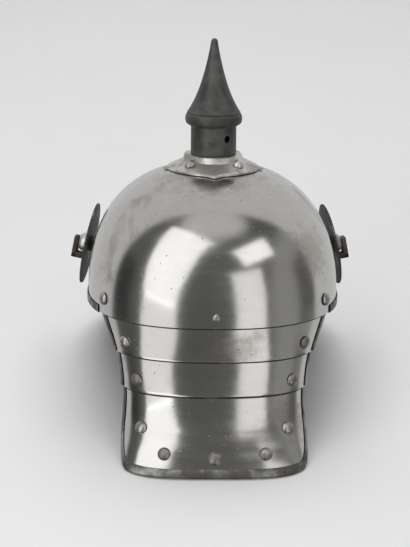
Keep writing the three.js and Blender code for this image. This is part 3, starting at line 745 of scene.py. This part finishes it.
# %% Paths along the plates, the skull and the peak
def plate_path(k, places):
    centre = Vector((0, lines[k]))
    flat = [Vector((u * half_arc, level)) for u, level in places]
    path = []
    for i, place in enumerate(flat):
        ahead = (flat[min(i + 1, len(flat) - 1)] - flat[max(i - 1, 0)]).normalized()
        inward = Vector((-ahead.y, ahead.x))
        if inward.dot(centre - place) < 0:
            inward.negate()
        under = place + inward * binding_depth
        path.append((plate_seat(k, place.x / half_arc, place.y), plate_seat(k, under.x / half_arc, under.y)))
    return path


def side_places(k, side, steps):
    top = lines[k] - plate_gap - seat_gap
    bottom = lines[k + 1] + seat_gap if k + 1 < len(lines) else rim_level(side)
    return [(side, top + (bottom - top) * i / steps) for i in range(steps + 1)]


def skull_edge_path(side, steps=40):
    spare = math.radians(2.5)
    start = side_angle(-skull_edge) + spare
    stop = math.pi - peak_half_angle - spare
    angles = [side * (start + (stop - start) * i / steps) for i in range(steps + 1)]
    return [(seat_on(-skull_edge, a), seat_on(-skull_edge + binding_depth, a)) for a in angles]


def peak_edge_path(steps=80):
    path = []
    for i in range(steps + 1):
        u = peak_bound * (2 * i / steps - 1)
        brim = (peak_point(u, 2) - peak_point(u, 1)).length
        path.append((peak_seat(u, 2), peak_seat(u, 2 - binding_depth / brim)))
    return path


# %% Edge strips
rim_places = [(u, rim_level(u)) for u in plate_columns()[1:-1]]
tail_places = side_places(2, -1, 16) + rim_places + list(reversed(side_places(2, 1, 16)))
strip_piece("tail_strip", plate_path(2, tail_places), "tail_binding", on_table=True)
strip_piece("peak_strip", peak_edge_path(), "peak_binding", on_table=True)
for side, sign in both_sides:
    for k, lame in enumerate(("upper", "lower")):
        path = plate_path(k, side_places(k, sign, 6))
        strip_piece(f"{lame}_lame_strip_{side}", path, f"lame_{lame}_binding_{side}")
    strip_piece(f"skull_strip_{side}", skull_edge_path(sign), f"skull_binding_{side}")


# %% [markdown]
# ## Turned bodies
# The spike, the rivet heads, the studs and the nuts are all turned: a profile of radius and height, spun
# round an axis. One function spins a profile and stands it on a seat, a point with a normal.

# %% Spinning a profile
def seat_frame(seat, upright=False):
    """Axes at a seat: Z along its normal. With upright, Y points as far up as it can."""
    point, normal = seat
    if upright:
        up_axis = (Vector((0, 0, 1)) - normal * normal.z).normalized()
    else:
        up_axis = normal.orthogonal().normalized()
    across = up_axis.cross(normal)
    return Matrix.Translation(point) @ Matrix((across, up_axis, normal)).transposed().to_4x4()


def spin(profile, sides, place, closed=False):
    """Points and faces of a turned body. A profile that isn't closed starts and ends on the axis."""
    rings = profile if closed else profile[1:-1]
    points, faces = [], []
    for radius, height in rings:
        for i in range(sides):
            angle = 2 * math.pi * i / sides
            points.append(place @ Vector((radius * math.cos(angle), radius * math.sin(angle), height)))
    joins = len(rings) if closed else len(rings) - 1
    for ring in range(joins):
        here, there = ring * sides, (ring + 1) % len(rings) * sides
        for i in range(sides):
            j = (i + 1) % sides
            faces.append((here + i, here + j, there + j, there + i))
    if not closed:
        for end, ring in ((profile[0], 0), (profile[-1], len(rings) - 1)):
            points.append(place @ Vector((0, 0, end[1])))
            tip = len(points) - 1
            faces += [(ring * sides + i, ring * sides + (i + 1) % sides, tip) for i in range(sides)]
    return points, faces


# %% [markdown]
# ## Spike
# The spike is cast in zinc: a cone with a slight flare, a flattened ball as a collar, and a plain neck
# with two air holes. Its holes are cut with a Boolean modifier, which is then made part of the mesh.

# %% Profile of the spike
tip_level = skull_height + 99.0
tip_radius = 2.7
flare_radius = 21.1
flare_level = skull_height + 41.1
collar_radius = 22.4
collar_level = skull_height + 36.3
neck_radius = 17.9
neck_top = skull_height + 30.6
spike_wall = 1.6
spike_curve = 0.3
boss_level = skull_height + 8


def flare_at(share):
    swell = (1 - spike_curve) * share ** 1.15 + spike_curve * share ** 4
    return tip_radius + (flare_radius - tip_radius) * swell


def spike_profile():
    long = tip_level - tip_radius - flare_level
    profile = [(0, tip_level)]
    for i in range(1, 6):
        angle = math.pi / 2 * i / 5
        profile.append((tip_radius * math.sin(angle), tip_level - tip_radius * (1 - math.cos(angle))))
    profile += [(flare_at(i / 30), tip_level - tip_radius - long * i / 30) for i in range(1, 31)]
    half = flare_level - collar_level - 0.3
    inner = flare_radius - 1.5
    for i in range(15):
        angle = math.radians(72 - 144 * i / 14)
        swell = math.cos(angle) ** 0.75
        profile.append((inner + (collar_radius - inner) * swell, collar_level + half * math.sin(angle)))
    profile += [(neck_radius + 0.7, neck_top + 0.2), (neck_radius, neck_top - 0.8)]
    profile += [(neck_radius, neck_top - 8), (neck_radius, boss_level + seat_gap + 0.4)]
    profile += [(neck_radius - 0.4, boss_level + seat_gap), (neck_radius - spike_wall, boss_level + seat_gap)]
    profile += [(neck_radius - spike_wall, neck_top)]
    hollow = 0.45
    for share in (1, 0.86, 0.72, 0.58, hollow):
        profile.append((flare_at(share) - spike_wall, tip_level - tip_radius - long * share))
    return profile + [(0, tip_level - tip_radius - long * hollow + 2 * spike_wall)]


# %% Spike with its air holes
spike_points, spike_faces = spin(spike_profile(), 96, Matrix.Identity(4))
spike = make_piece("spike_turned", spike_points, spike_faces, [spike_zinc], "zinc", ["spike"])

hole_turn = math.radians(36)
hole_radius = 2.9
hole_level = skull_height + 21.6
for turn_round in (hole_turn, hole_turn + math.pi):
    normal = Vector((math.sin(turn_round), -math.cos(turn_round), 0))
    seat = (normal * (neck_radius - 4) + Vector((0, 0, hole_level)), normal)
    drill_profile = [(0, -1), (hole_radius, -1), (hole_radius, 8), (0, 8)]
    drill_points, drill_faces = spin(drill_profile, 32, seat_frame(seat))
    drill = new_object("drill", solid_mesh("drill", [to_rest @ p for p in drill_points], drill_faces))
    cut = spike.modifiers.new("air_hole", "BOOLEAN")
    cut.operation, cut.solver, cut.object = "DIFFERENCE", "EXACT", drill
    take_result(spike)
    bpy.data.objects.remove(drill)
sharpen(spike.data, fold_angle)
print("spike faces after drilling:", len(spike.data.polygons))


# %% [markdown]
# ## Spike base
# The base is a dished oval plate with four small points and a raised ring. It is spun like a turned body,
# but its edge has its own radius at every angle, and its plate follows the crown of the skull.

# %% Shape of the base
boss_radius = 22.8
boss_skirt_radius = 23.6
boss_skirt_level = skull_height + 3.1
boss_foot_radius = 26
base_half_width = 36
base_half_length = 41
base_point = 3.5
base_point_width = 11.2
base_sheet = 1.5
base_dish = 3


def crown_level(x, y):
    ring = abs(x / skull_half_width) ** skull_fullness + abs(y / skull_half_length) ** skull_fullness
    return skull_height * (1 - ring) ** (1 / skull_fullness)


def base_edge(angle):
    quarter = math.pi / 2
    away = abs(angle / quarter - round(angle / quarter)) * 90
    oval = 1 / math.hypot(math.sin(angle) / base_half_width, math.cos(angle) / base_half_length)
    return oval + base_point * max(0.0, 1 - away / base_point_width) ** 1.3


def plate_lift(angle, share):
    """Level of the plate's lower face. share is 0 at the ring's foot and 1 at the edge."""
    sine, cosine, edge = math.sin(angle), -math.cos(angle), base_edge(angle)
    radius = boss_foot_radius + (edge - boss_foot_radius) * share
    at_foot = crown_level(boss_foot_radius * sine, boss_foot_radius * cosine) + base_dish
    at_edge = crown_level(edge * sine, edge * cosine)
    return Vector((radius * sine, radius * cosine, at_foot + (at_edge - at_foot) * share + plate_gap))


# %% Spike base
def base_ring(angle):
    """One section of the base, from the hole's upper edge over the outside and back inside."""
    def on_boss(radius, level):
        return Vector((radius * math.sin(angle), -radius * math.cos(angle), level))

    lift = Vector((0, 0, base_sheet))
    section = [on_boss(vent_radius, boss_level), on_boss(boss_radius - 1.2, boss_level)]
    section += [on_boss(boss_radius - 0.4, boss_level - 0.25), on_boss(boss_radius, boss_level - 1)]
    section += [on_boss(boss_skirt_radius, boss_skirt_level + 0.4),
                on_boss(boss_skirt_radius + 0.5, boss_skirt_level - 0.6)]
    section += [plate_lift(angle, share) + lift for share in (0, 0.14, 0.3, 0.5, 0.7, 0.86, 0.97)]
    section += [plate_lift(angle, 1) + lift * 0.75, plate_lift(angle, 1), plate_lift(angle, 0.5)]
    section += [plate_lift(angle, 0) - Vector((math.sin(angle), -math.cos(angle), 0)) * base_sheet]
    section += [on_boss(boss_radius - 1 - base_sheet, boss_level - base_sheet)]
    return section + [on_boss(vent_radius, boss_level - base_sheet)]


def loop_faces(count, size):
    """Faces of sections joined in a closed ring."""
    faces = []
    for i in range(count):
        here, there = i * size, (i + 1) % count * size
        faces += [(here + j, here + (j + 1) % size, there + (j + 1) % size, there + j) for j in range(size)]
    return faces


base_count = 192
rings = [base_ring(2 * math.pi * i / base_count) for i in range(base_count)]
base_points = [p for ring in rings for p in ring]
base_faces = loop_faces(base_count, len(rings[0]))
make_piece("base_plate", base_points, base_faces, [base_metal], "white_metal", ["spike_base"])


# %% [markdown]
# ## Rivet heads and studs
# What repeats is made with Geometry Nodes. A group takes a mesh of bare points, each with the direction
# that its rivet stands in, puts a copy of one head on every point, turns it and joins the copies. The heads
# are one object each time, so that one change alters them all.

# %% Starting and ending a geometry group
def geometry_group(name, **kinds):
    """An empty Geometry Nodes group with Geometry and Finish beside the named inputs."""
    tree = bpy.data.node_groups.new(name, "GeometryNodeTree")
    tree.interface.new_socket("Geometry", in_out="OUTPUT", socket_type="NodeSocketGeometry")
    for label, kind in {"Geometry": "Geometry", "Finish": "Material", **kinds}.items():
        tree.interface.new_socket(label, in_out="INPUT", socket_type=f"NodeSocket{kind}")
    return tree, tree.nodes.new("NodeGroupInput").outputs, tree.nodes.new("NodeGroupOutput")


def finish_group(tree, inputs, outputs, geometry):
    """Makes the copies real and gives them their finish."""
    real = add_node(tree, "GeometryNodeRealizeInstances", {"Geometry": geometry})
    finished = add_node(tree, "GeometryNodeSetMaterial",
                        {"Geometry": real.outputs["Geometry"], "Material": inputs["Finish"]})
    tree.links.new(finished.outputs["Geometry"], outputs.inputs["Geometry"])
    named = [s.name for s in tree.interface.items_tree if s.in_out == "INPUT"]
    print("group", tree.name, "inputs", named)
    return tree


# %% The node group that sets heads on points
def make_head_setter():
    tree, inputs, outputs = geometry_group("set_heads", Head="Object", Size="Float")
    head = add_node(tree, "GeometryNodeObjectInfo", {"Object": inputs["Head"]})
    stand = add_node(tree, "GeometryNodeInputNamedAttribute", {"Name": "stand"}, data_type="FLOAT_VECTOR")
    turned = add_node(tree, "FunctionNodeAlignRotationToVector", {"Vector": stand.outputs["Attribute"]},
                      axis="Z")
    copies = add_node(tree, "GeometryNodeInstanceOnPoints",
                      {"Points": inputs["Geometry"], "Instance": head.outputs["Geometry"],
                       "Rotation": turned.outputs["Rotation"], "Scale": inputs["Size"]})
    return finish_group(tree, inputs, outputs, copies.outputs["Instances"])


head_setter = make_head_setter()


# %% Using it
def use_group(piece, group, values):
    """Runs a geometry group on a piece. Its inputs are set through each socket's identifier."""
    modifier = piece.modifiers.new(group.name, "NODES")
    modifier.node_group = group
    for item in group.interface.items_tree:
        if item.in_out == "INPUT" and item.name in values:
            modifier[item.identifier] = values[item.name]
    return take_result(piece)


head_fold_angle = 50


def head_pieces(name, seats, profile, radius, finish, stands_for):
    """Heads of one profile, given for radius 1, on all the seats."""
    helper = new_object("head_helper", solid_mesh("head_helper", *spin(profile, 32, Matrix.Identity(4))))
    cloud = bpy.data.meshes.new(name)
    cloud.from_pydata([to_rest @ point for point, normal in seats], [], [])
    turn_only = to_rest.to_3x3().normalized()
    stand = cloud.attributes.new("stand", "FLOAT_VECTOR", "POINT")
    for i, (point, normal) in enumerate(seats):
        stand.data[i].vector = turn_only @ normal
    piece = new_object(name, cloud)
    made = use_group(piece, head_setter, {"Head": helper, "Size": radius * 0.001, "Finish": finish})
    bpy.data.objects.remove(helper)
    for polygon in made.polygons:
        polygon.use_smooth = True
    sharpen(made, head_fold_angle)
    hand_over(piece, stands_for)


# %% [markdown]
# ## Rivets of the tail
# Five pairs of round heads hold the plates, with one more in the middle of the rim and a small bead above
# the middle of the skull's edge. Real heads are a little flattened on top where the hammer closed them.

# %% Rivets
def raised(seat):
    """A seat moved off its plate by the small gap that keeps a head from touching it."""
    point, normal = seat
    return point + normal * head_gap, normal


rivet_radius = 5.0
small_rivet_radius = 3.0
dome_head = [(0, 0.52), (0.25, 0.51), (0.48, 0.46), (0.7, 0.36), (0.87, 0.22), (0.97, 0.08), (1.0, -0.02),
             (0.96, -0.05), (0.32, -0.05), (0.32, -0.5), (0, -0.5)]
rivet_rows = [
    ("rivet_skull", -1, -skull_edge + 12, 0.95),
    ("rivet_lame_upper", 0, lines[1] + 9.5, 0.755),
    ("rivet_lame_lower", 1, lines[2] + 9, 0.675),
    ("rivet_tail_side", 2, -skull_edge - tail_drop + 31.5, 0.61),
    ("rivet_tail_rim", 2, -skull_edge - tail_drop + 15.5, 0.28),
]
rivet_seats, rivet_nodes = [], []
for node, plate, level, across in rivet_rows:
    for side, sign in both_sides:
        rivet_seats.append(raised(plate_seat(plate, sign * across, level)))
        rivet_nodes.append(f"{node}_{side}")
rivet_seats.append(raised(plate_seat(2, 0, lines[0] - tail_drop + 12.7)))
rivet_nodes.append("rivet_tail_middle")
head_pieces("tail_rivets", rivet_seats, dome_head, rivet_radius, rivet_steel, rivet_nodes)

bead_seat = raised(seat_on(-skull_edge + 8.5, 0))
head_pieces("small_bead", [bead_seat], dome_head, small_rivet_radius, rivet_steel, ["vent_bead"])

peak_rivet_places = {"outer_left": -0.82, "inner_left": -0.3, "inner_right": 0.3, "outer_right": 0.82}
flange_middle = -skull_edge + flange_height / 2
peak_seats = [raised(seat_on(flange_middle, peak_angle(u))) for u in peak_rivet_places.values()]
head_pieces("peak_rivets", peak_seats, dome_head, small_rivet_radius, polished_steel,
            [f"rivet_peak_{place}" for place in peak_rivet_places])


# %% [markdown]
# ## Studs of the base
# Four taller round studs hold the base on the skull. They stand square to the sloping plate.

# %% Studs
def plate_level(x, y):
    angle = math.atan2(x, -y)
    share = (math.hypot(x, y) - boss_foot_radius) / (base_edge(angle) - boss_foot_radius)
    return plate_lift(angle, share).z + base_sheet


ball_head = [(0, 0.87), (0.25, 0.85), (0.5, 0.75), (0.72, 0.58), (0.88, 0.36), (0.97, 0.15), (1.0, 0.0),
             (0.9, -0.08), (0.35, -0.08), (0.35, -0.6), (0, -0.6)]
stud_radius = 4.6
stud_across, stud_along = 18.6, 22.5
stud_seats = []
for x_side, y_side in ((1, -1), (1, 1), (-1, 1), (-1, -1)):
    x, y, step = stud_across * x_side, stud_along * y_side, 0.5
    slope_x = (plate_level(x + step, y) - plate_level(x - step, y)) / (2 * step)
    slope_y = (plate_level(x, y + step) - plate_level(x, y - step)) / (2 * step)
    normal = Vector((-slope_x, -slope_y, 1)).normalized()
    stud_seats.append(raised((Vector((x, y, plate_level(x, y))), normal)))
head_pieces("base_studs", stud_seats, ball_head, stud_radius, base_metal,
            [f"base_stud_{i}" for i in range(1, 5)])


# %% [markdown]
# ## Side discs
# Each side carries one thin toothed disc, held clear of the skull on a short post. The toothed edge
# repeats, so Geometry Nodes makes it: a circle whose every second point is pulled in, filled and given
# thickness.

# %% The node group for a toothed disc
def make_toothed_disc():
    tree, inputs, outputs = geometry_group("toothed_disc", Radius="Float", Depth="Float", Thickness="Float",
                                           Teeth="Int")
    circle = add_node(tree, "GeometryNodeMeshCircle",
                      {"Vertices": times(tree, inputs["Teeth"], 2.0), "Radius": inputs["Radius"]},
                      fill_type="NGON")
    odd = math_node(tree, "MODULO", add_node(tree, "GeometryNodeInputIndex").outputs[0], 2.0)
    inward = times(tree, odd, times(tree, inputs["Depth"], -1.0))
    place = add_node(tree, "GeometryNodeInputPosition")
    outward = add_node(tree, "ShaderNodeVectorMath", {0: place.outputs[0]}, operation="NORMALIZE")
    offset = add_node(tree, "ShaderNodeVectorMath", {0: outward.outputs[0], "Scale": inward},
                      operation="SCALE")
    toothed = add_node(tree, "GeometryNodeSetPosition",
                       {"Geometry": circle.outputs["Mesh"], "Offset": offset.outputs[0]})
    thick = add_node(tree, "GeometryNodeExtrudeMesh",
                     {"Mesh": toothed.outputs["Geometry"], "Offset Scale": inputs["Thickness"]})
    under = add_node(tree, "GeometryNodeFlipFaces", {"Mesh": toothed.outputs["Geometry"]})
    joined = add_node(tree, "GeometryNodeJoinGeometry")
    tree.links.new(thick.outputs["Mesh"], joined.inputs["Geometry"])
    tree.links.new(under.outputs["Mesh"], joined.inputs["Geometry"])
    welded = add_node(tree, "GeometryNodeMergeByDistance",
                      {"Geometry": joined.outputs["Geometry"], "Distance": 1e-6})
    return finish_group(tree, inputs, outputs, welded.outputs["Geometry"])


toothed_disc = make_toothed_disc()

# %% Sizes of the side fittings
cockade_share = 0.495
cockade_level = 21.8
cockade_swing = math.radians(7)
cockade_tilt = math.radians(11)
disc_lift = 10.2
hub_lift = 2.4
post_spare = 2.1
disc_radius = 33.5
disc_sheet = 1.4
tooth_depth = 1.2
tooth_count = 60
post_radius = 3
nut_radius = 8.2
nut_height = 7.6
nut_lift = disc_lift + disc_sheet + seat_gap
lug_lift = nut_lift + nut_height + seat_gap
lug_length = 17.5
lug_width = 9
lug_height = 4.2
lug_drop = 4.9
lug_leg = 4.6


def cockade_seat(sign):
    section = skull_section(cockade_level)
    along = -cockade_share * skull_half_length / section[2]
    point = seat_on(cockade_level, sign * math.acos(power(along, section[4] / 2)))[0]
    level = math.cos(cockade_tilt)
    return point, Vector((sign * level * math.cos(cockade_swing), level * math.sin(cockade_swing),
                          math.sin(cockade_tilt)))


# %% Toothed disc
def disc_piece(side, place):
    name = f"toothed_disc_{side}"
    piece = new_object(name, bpy.data.meshes.new(name))
    made = use_group(piece, toothed_disc, {
        "Radius": disc_radius * 0.001, "Thickness": disc_sheet * 0.001, "Depth": tooth_depth * 0.001,
        "Teeth": tooth_count, "Finish": grey_lacquer})
    made.transform(to_rest @ place @ Matrix.Translation((0, 0, disc_lift)) @ Matrix.Scale(1000, 4))
    hand_over(piece, [f"disc_{side}"])


# %% [markdown]
# ## What clamps the discs
# A post runs through the skull and the disc. A hub keeps them apart, a rounded nut holds the disc, and a
# small block with a leg, for the end of a chin strap, is the last thing on it.

# %% Nuts and posts
def collar_profile(radius, low, high):
    core = post_radius - 0.5
    return [(core, high), (radius - 0.4, high), (radius, high - 0.4),
            (radius, low + 0.4), (radius - 0.4, low), (core, low)]


def nut_piece(side, place):
    bore = post_radius + seat_gap
    nut = [(bore, nut_lift + nut_height), (nut_radius * 0.5, nut_lift + nut_height)]
    for i in range(9):
        angle = math.pi / 2 * i / 8
        level = nut_lift + nut_height * (0.3 + 0.7 * math.cos(angle))
        nut.append((nut_radius * (0.6 + 0.34 * math.sin(angle)), level))
    nut += [(nut_radius * 0.93, nut_lift + 1.6), (nut_radius, nut_lift + 1.3), (nut_radius, nut_lift + 0.2)]
    nut += [(nut_radius * 0.97, nut_lift), (bore, nut_lift)]
    make_piece(f"round_nut_{side}", *spin(nut, 48, place, closed=True), [base_metal], "white_metal",
               [f"nut_{side}"])


def post_piece(side, place):
    inside = sheet + post_spare
    top = lug_lift + lug_height / 2
    shaft = [(0, top), (post_radius, top), (post_radius, -inside - 2), (0, -inside - 2)]
    bodies = [spin(shaft, 32, place)]
    bodies.append(spin(collar_profile(nut_radius * 0.7, -inside - 2.5, -inside), 32, place, closed=True))
    hub = collar_profile(nut_radius * 0.8, hub_lift, disc_lift - seat_gap)
    bodies.append(spin(hub, 32, place, closed=True))
    leg_height = lug_lift + lug_height - nut_lift - seat_gap
    blocks = [(lug_length, lug_height, -lug_drop),
              (lug_leg, leg_height, (lug_leg - lug_length) / 2 - lug_drop)]
    for length, height, middle in blocks:
        block_points, block_faces = rounded_block(lug_width, length, height, 0.7)
        shift = place @ Matrix.Translation((0, middle, lug_lift + lug_height - height / 2))
        bodies.append(([shift @ p for p in block_points], block_faces))
    points, faces = [], []
    for body_points, body_faces in bodies:
        faces += [tuple(len(points) + i for i in face) for face in body_faces]
        points += body_points
    make_piece(f"post_and_lug_{side}", points, faces, [brown_fitting], "post", [f"post_{side}"])


def rounded_block(width, length, height, edge):
    """A block with rounded edges, around the origin."""
    edit = bmesh.new()
    bmesh.ops.create_cube(edit, size=1.0)
    bmesh.ops.scale(edit, vec=(width, length, height), verts=edit.verts)
    bmesh.ops.bevel(edit, geom=edit.edges[:], offset=edge, segments=3, affect="EDGES", profile=0.5)
    edit.verts.ensure_lookup_table()
    points = [v.co.copy() for v in edit.verts]
    faces = [tuple(v.index for v in f.verts) for f in edit.faces]
    edit.free()
    return points, faces


for side, sign in both_sides:
    place = seat_frame(cockade_seat(sign), upright=True)
    disc_piece(side, place)
    nut_piece(side, place)
    post_piece(side, place)

# %% [markdown]
# ## Table and light
# A polished helmet shows its surroundings more than itself. The photograph has a white table and backdrop,
# and in the steel a dark room with two bright windows of light, one to each side of the camera. Two
# windows of two or three area lights each stand there, the world gives the dark room, and a soft light
# overhead lifts the table.

# %% Table and backdrop
def plain_surface():
    material = bpy.data.materials.new("table_white")
    material.use_nodes = True
    tree = material.node_tree
    shader = tree.nodes["Principled BSDF"]
    grain = noise(tree, object_place(tree), 5.0, 3.0)
    tint = add_node(tree, "ShaderNodeMix", {0: grain, 6: (0.70, 0.70, 0.70, 1), 7: (0.74, 0.74, 0.74, 1)},
                    data_type="RGBA")
    tree.links.new(tint.outputs[2], shader.inputs["Base Color"])
    shader.inputs["Roughness"].default_value = 0.75
    return material


table_front = -0.34
bend_start = 1.1
bend_radius = 0.5
backdrop_height = 2.4
half_near, half_far = 0.42, 1.3


def make_table():
    """A sheet that lies flat under the helmet and curves up behind it."""
    path = [(table_front, 0.0), (bend_start, 0.0)]
    for i in range(1, 13):
        angle = math.pi / 2 * i / 12
        path.append((bend_start + bend_radius * math.sin(angle), bend_radius * (1 - math.cos(angle))))
    path.append((bend_start + bend_radius, backdrop_height))
    points = []
    for y, z in path:
        half = half_near + (half_far - half_near) * min(1.0, max(0.0, y / bend_start))
        points += [(-half, y, z), (half, y, z)]
    faces = [(2 * i, 2 * i + 1, 2 * i + 3, 2 * i + 2) for i in range(len(path) - 1)]
    mesh = bpy.data.meshes.new("table")
    mesh.from_pydata(points, [], faces)
    mesh.materials.append(plain_surface())
    for polygon in mesh.polygons:
        polygon.use_smooth = True
    table = new_object("table", mesh)
    table.visible_glossy = False
    return table


table = make_table()
print("table", [round(v, 2) for v in table.dimensions])


# %% Windows of light
def window(name, turn, height, distance, size, brightness, mirrored=True):
    """An area light facing the helmet. turn is degrees from the camera's side towards +X, height degrees up.
    brightness is how bright its face looks, so that a mirror shows it at that value."""
    data = bpy.data.lights.new(name, "AREA")
    data.shape = "RECTANGLE"
    data.size, data.size_y = size
    data.energy = brightness * math.pi * size[0] * size[1]
    light = new_object(name, data)
    turn, height = math.radians(turn), math.radians(height)
    away = Vector((math.sin(turn) * math.cos(height), -math.cos(turn) * math.cos(height), math.sin(height)))
    light.location = aim + away * distance
    light.rotation_euler = (-away).to_track_quat("-Z", "Y").to_euler()
    light.visible_glossy = mirrored


window("window_left", -43, 39, 1.1, (0.84, 1.50), 1.35)
window("window_left_low", -42, -13, 1.1, (0.74, 0.78), 0.95)
window("window_right", 25, 12, 1.2, (0.56, 1.0), 0.95)
window("window_right_low", 25, -21, 1.2, (0.56, 0.45), 0.95)
window("window_right_top", 44, 49, 1.1, (0.62, 0.36), 1.3)
window("overhead", 180, 70, 1.9, (1.8, 1.6), 3.2, mirrored=False)

# %% The room
pale_room = 0.60
seen_room = 0.72
dark_wall = 0.11
right_wall_lift = 0.2
corner_loss = 0.6
world = bpy.data.worlds.new("studio")
bpy.context.scene.world = world
bpy.context.scene.view_settings.view_transform = "Standard"
world.use_nodes = True
tree = world.node_tree
background = tree.nodes["Background"]
direction = add_node(tree, "ShaderNodeTexCoord").outputs["Generated"]
parts = add_node(tree, "ShaderNodeSeparateXYZ", {0: direction}).outputs
near = times(tree, parts["Y"], -1.0)
low = minus(tree, 1.0, soft_step(tree, parts["Z"], 0.93, 0.98))
dark_side = times(tree, soft_step(tree, near, -0.30, -0.18), low)
flat = minus(tree, 1.0, soft_step(tree, math_node(tree, "ABSOLUTE", parts["Z"]), 0.2, 0.45))
corner = times(tree, minus(tree, 1.0, soft_step(tree, near, 0.05, 0.3)), flat)
wall = plus(tree, dark_wall, times(tree, soft_step(tree, parts["X"], 0.6, 0.8), right_wall_lift))
wall = times(tree, wall, minus(tree, 1.0, times(tree, corner, corner_loss)))
shade = add_node(tree, "ShaderNodeMix", {0: dark_side, 2: pale_room, 3: wall}, data_type="FLOAT")
seen = add_node(tree, "ShaderNodeLightPath").outputs["Is Camera Ray"]
room = add_node(tree, "ShaderNodeMix", {0: seen, 2: shade.outputs[0], 3: seen_room}, data_type="FLOAT")
tree.links.new(room.outputs[0], background.inputs["Color"])
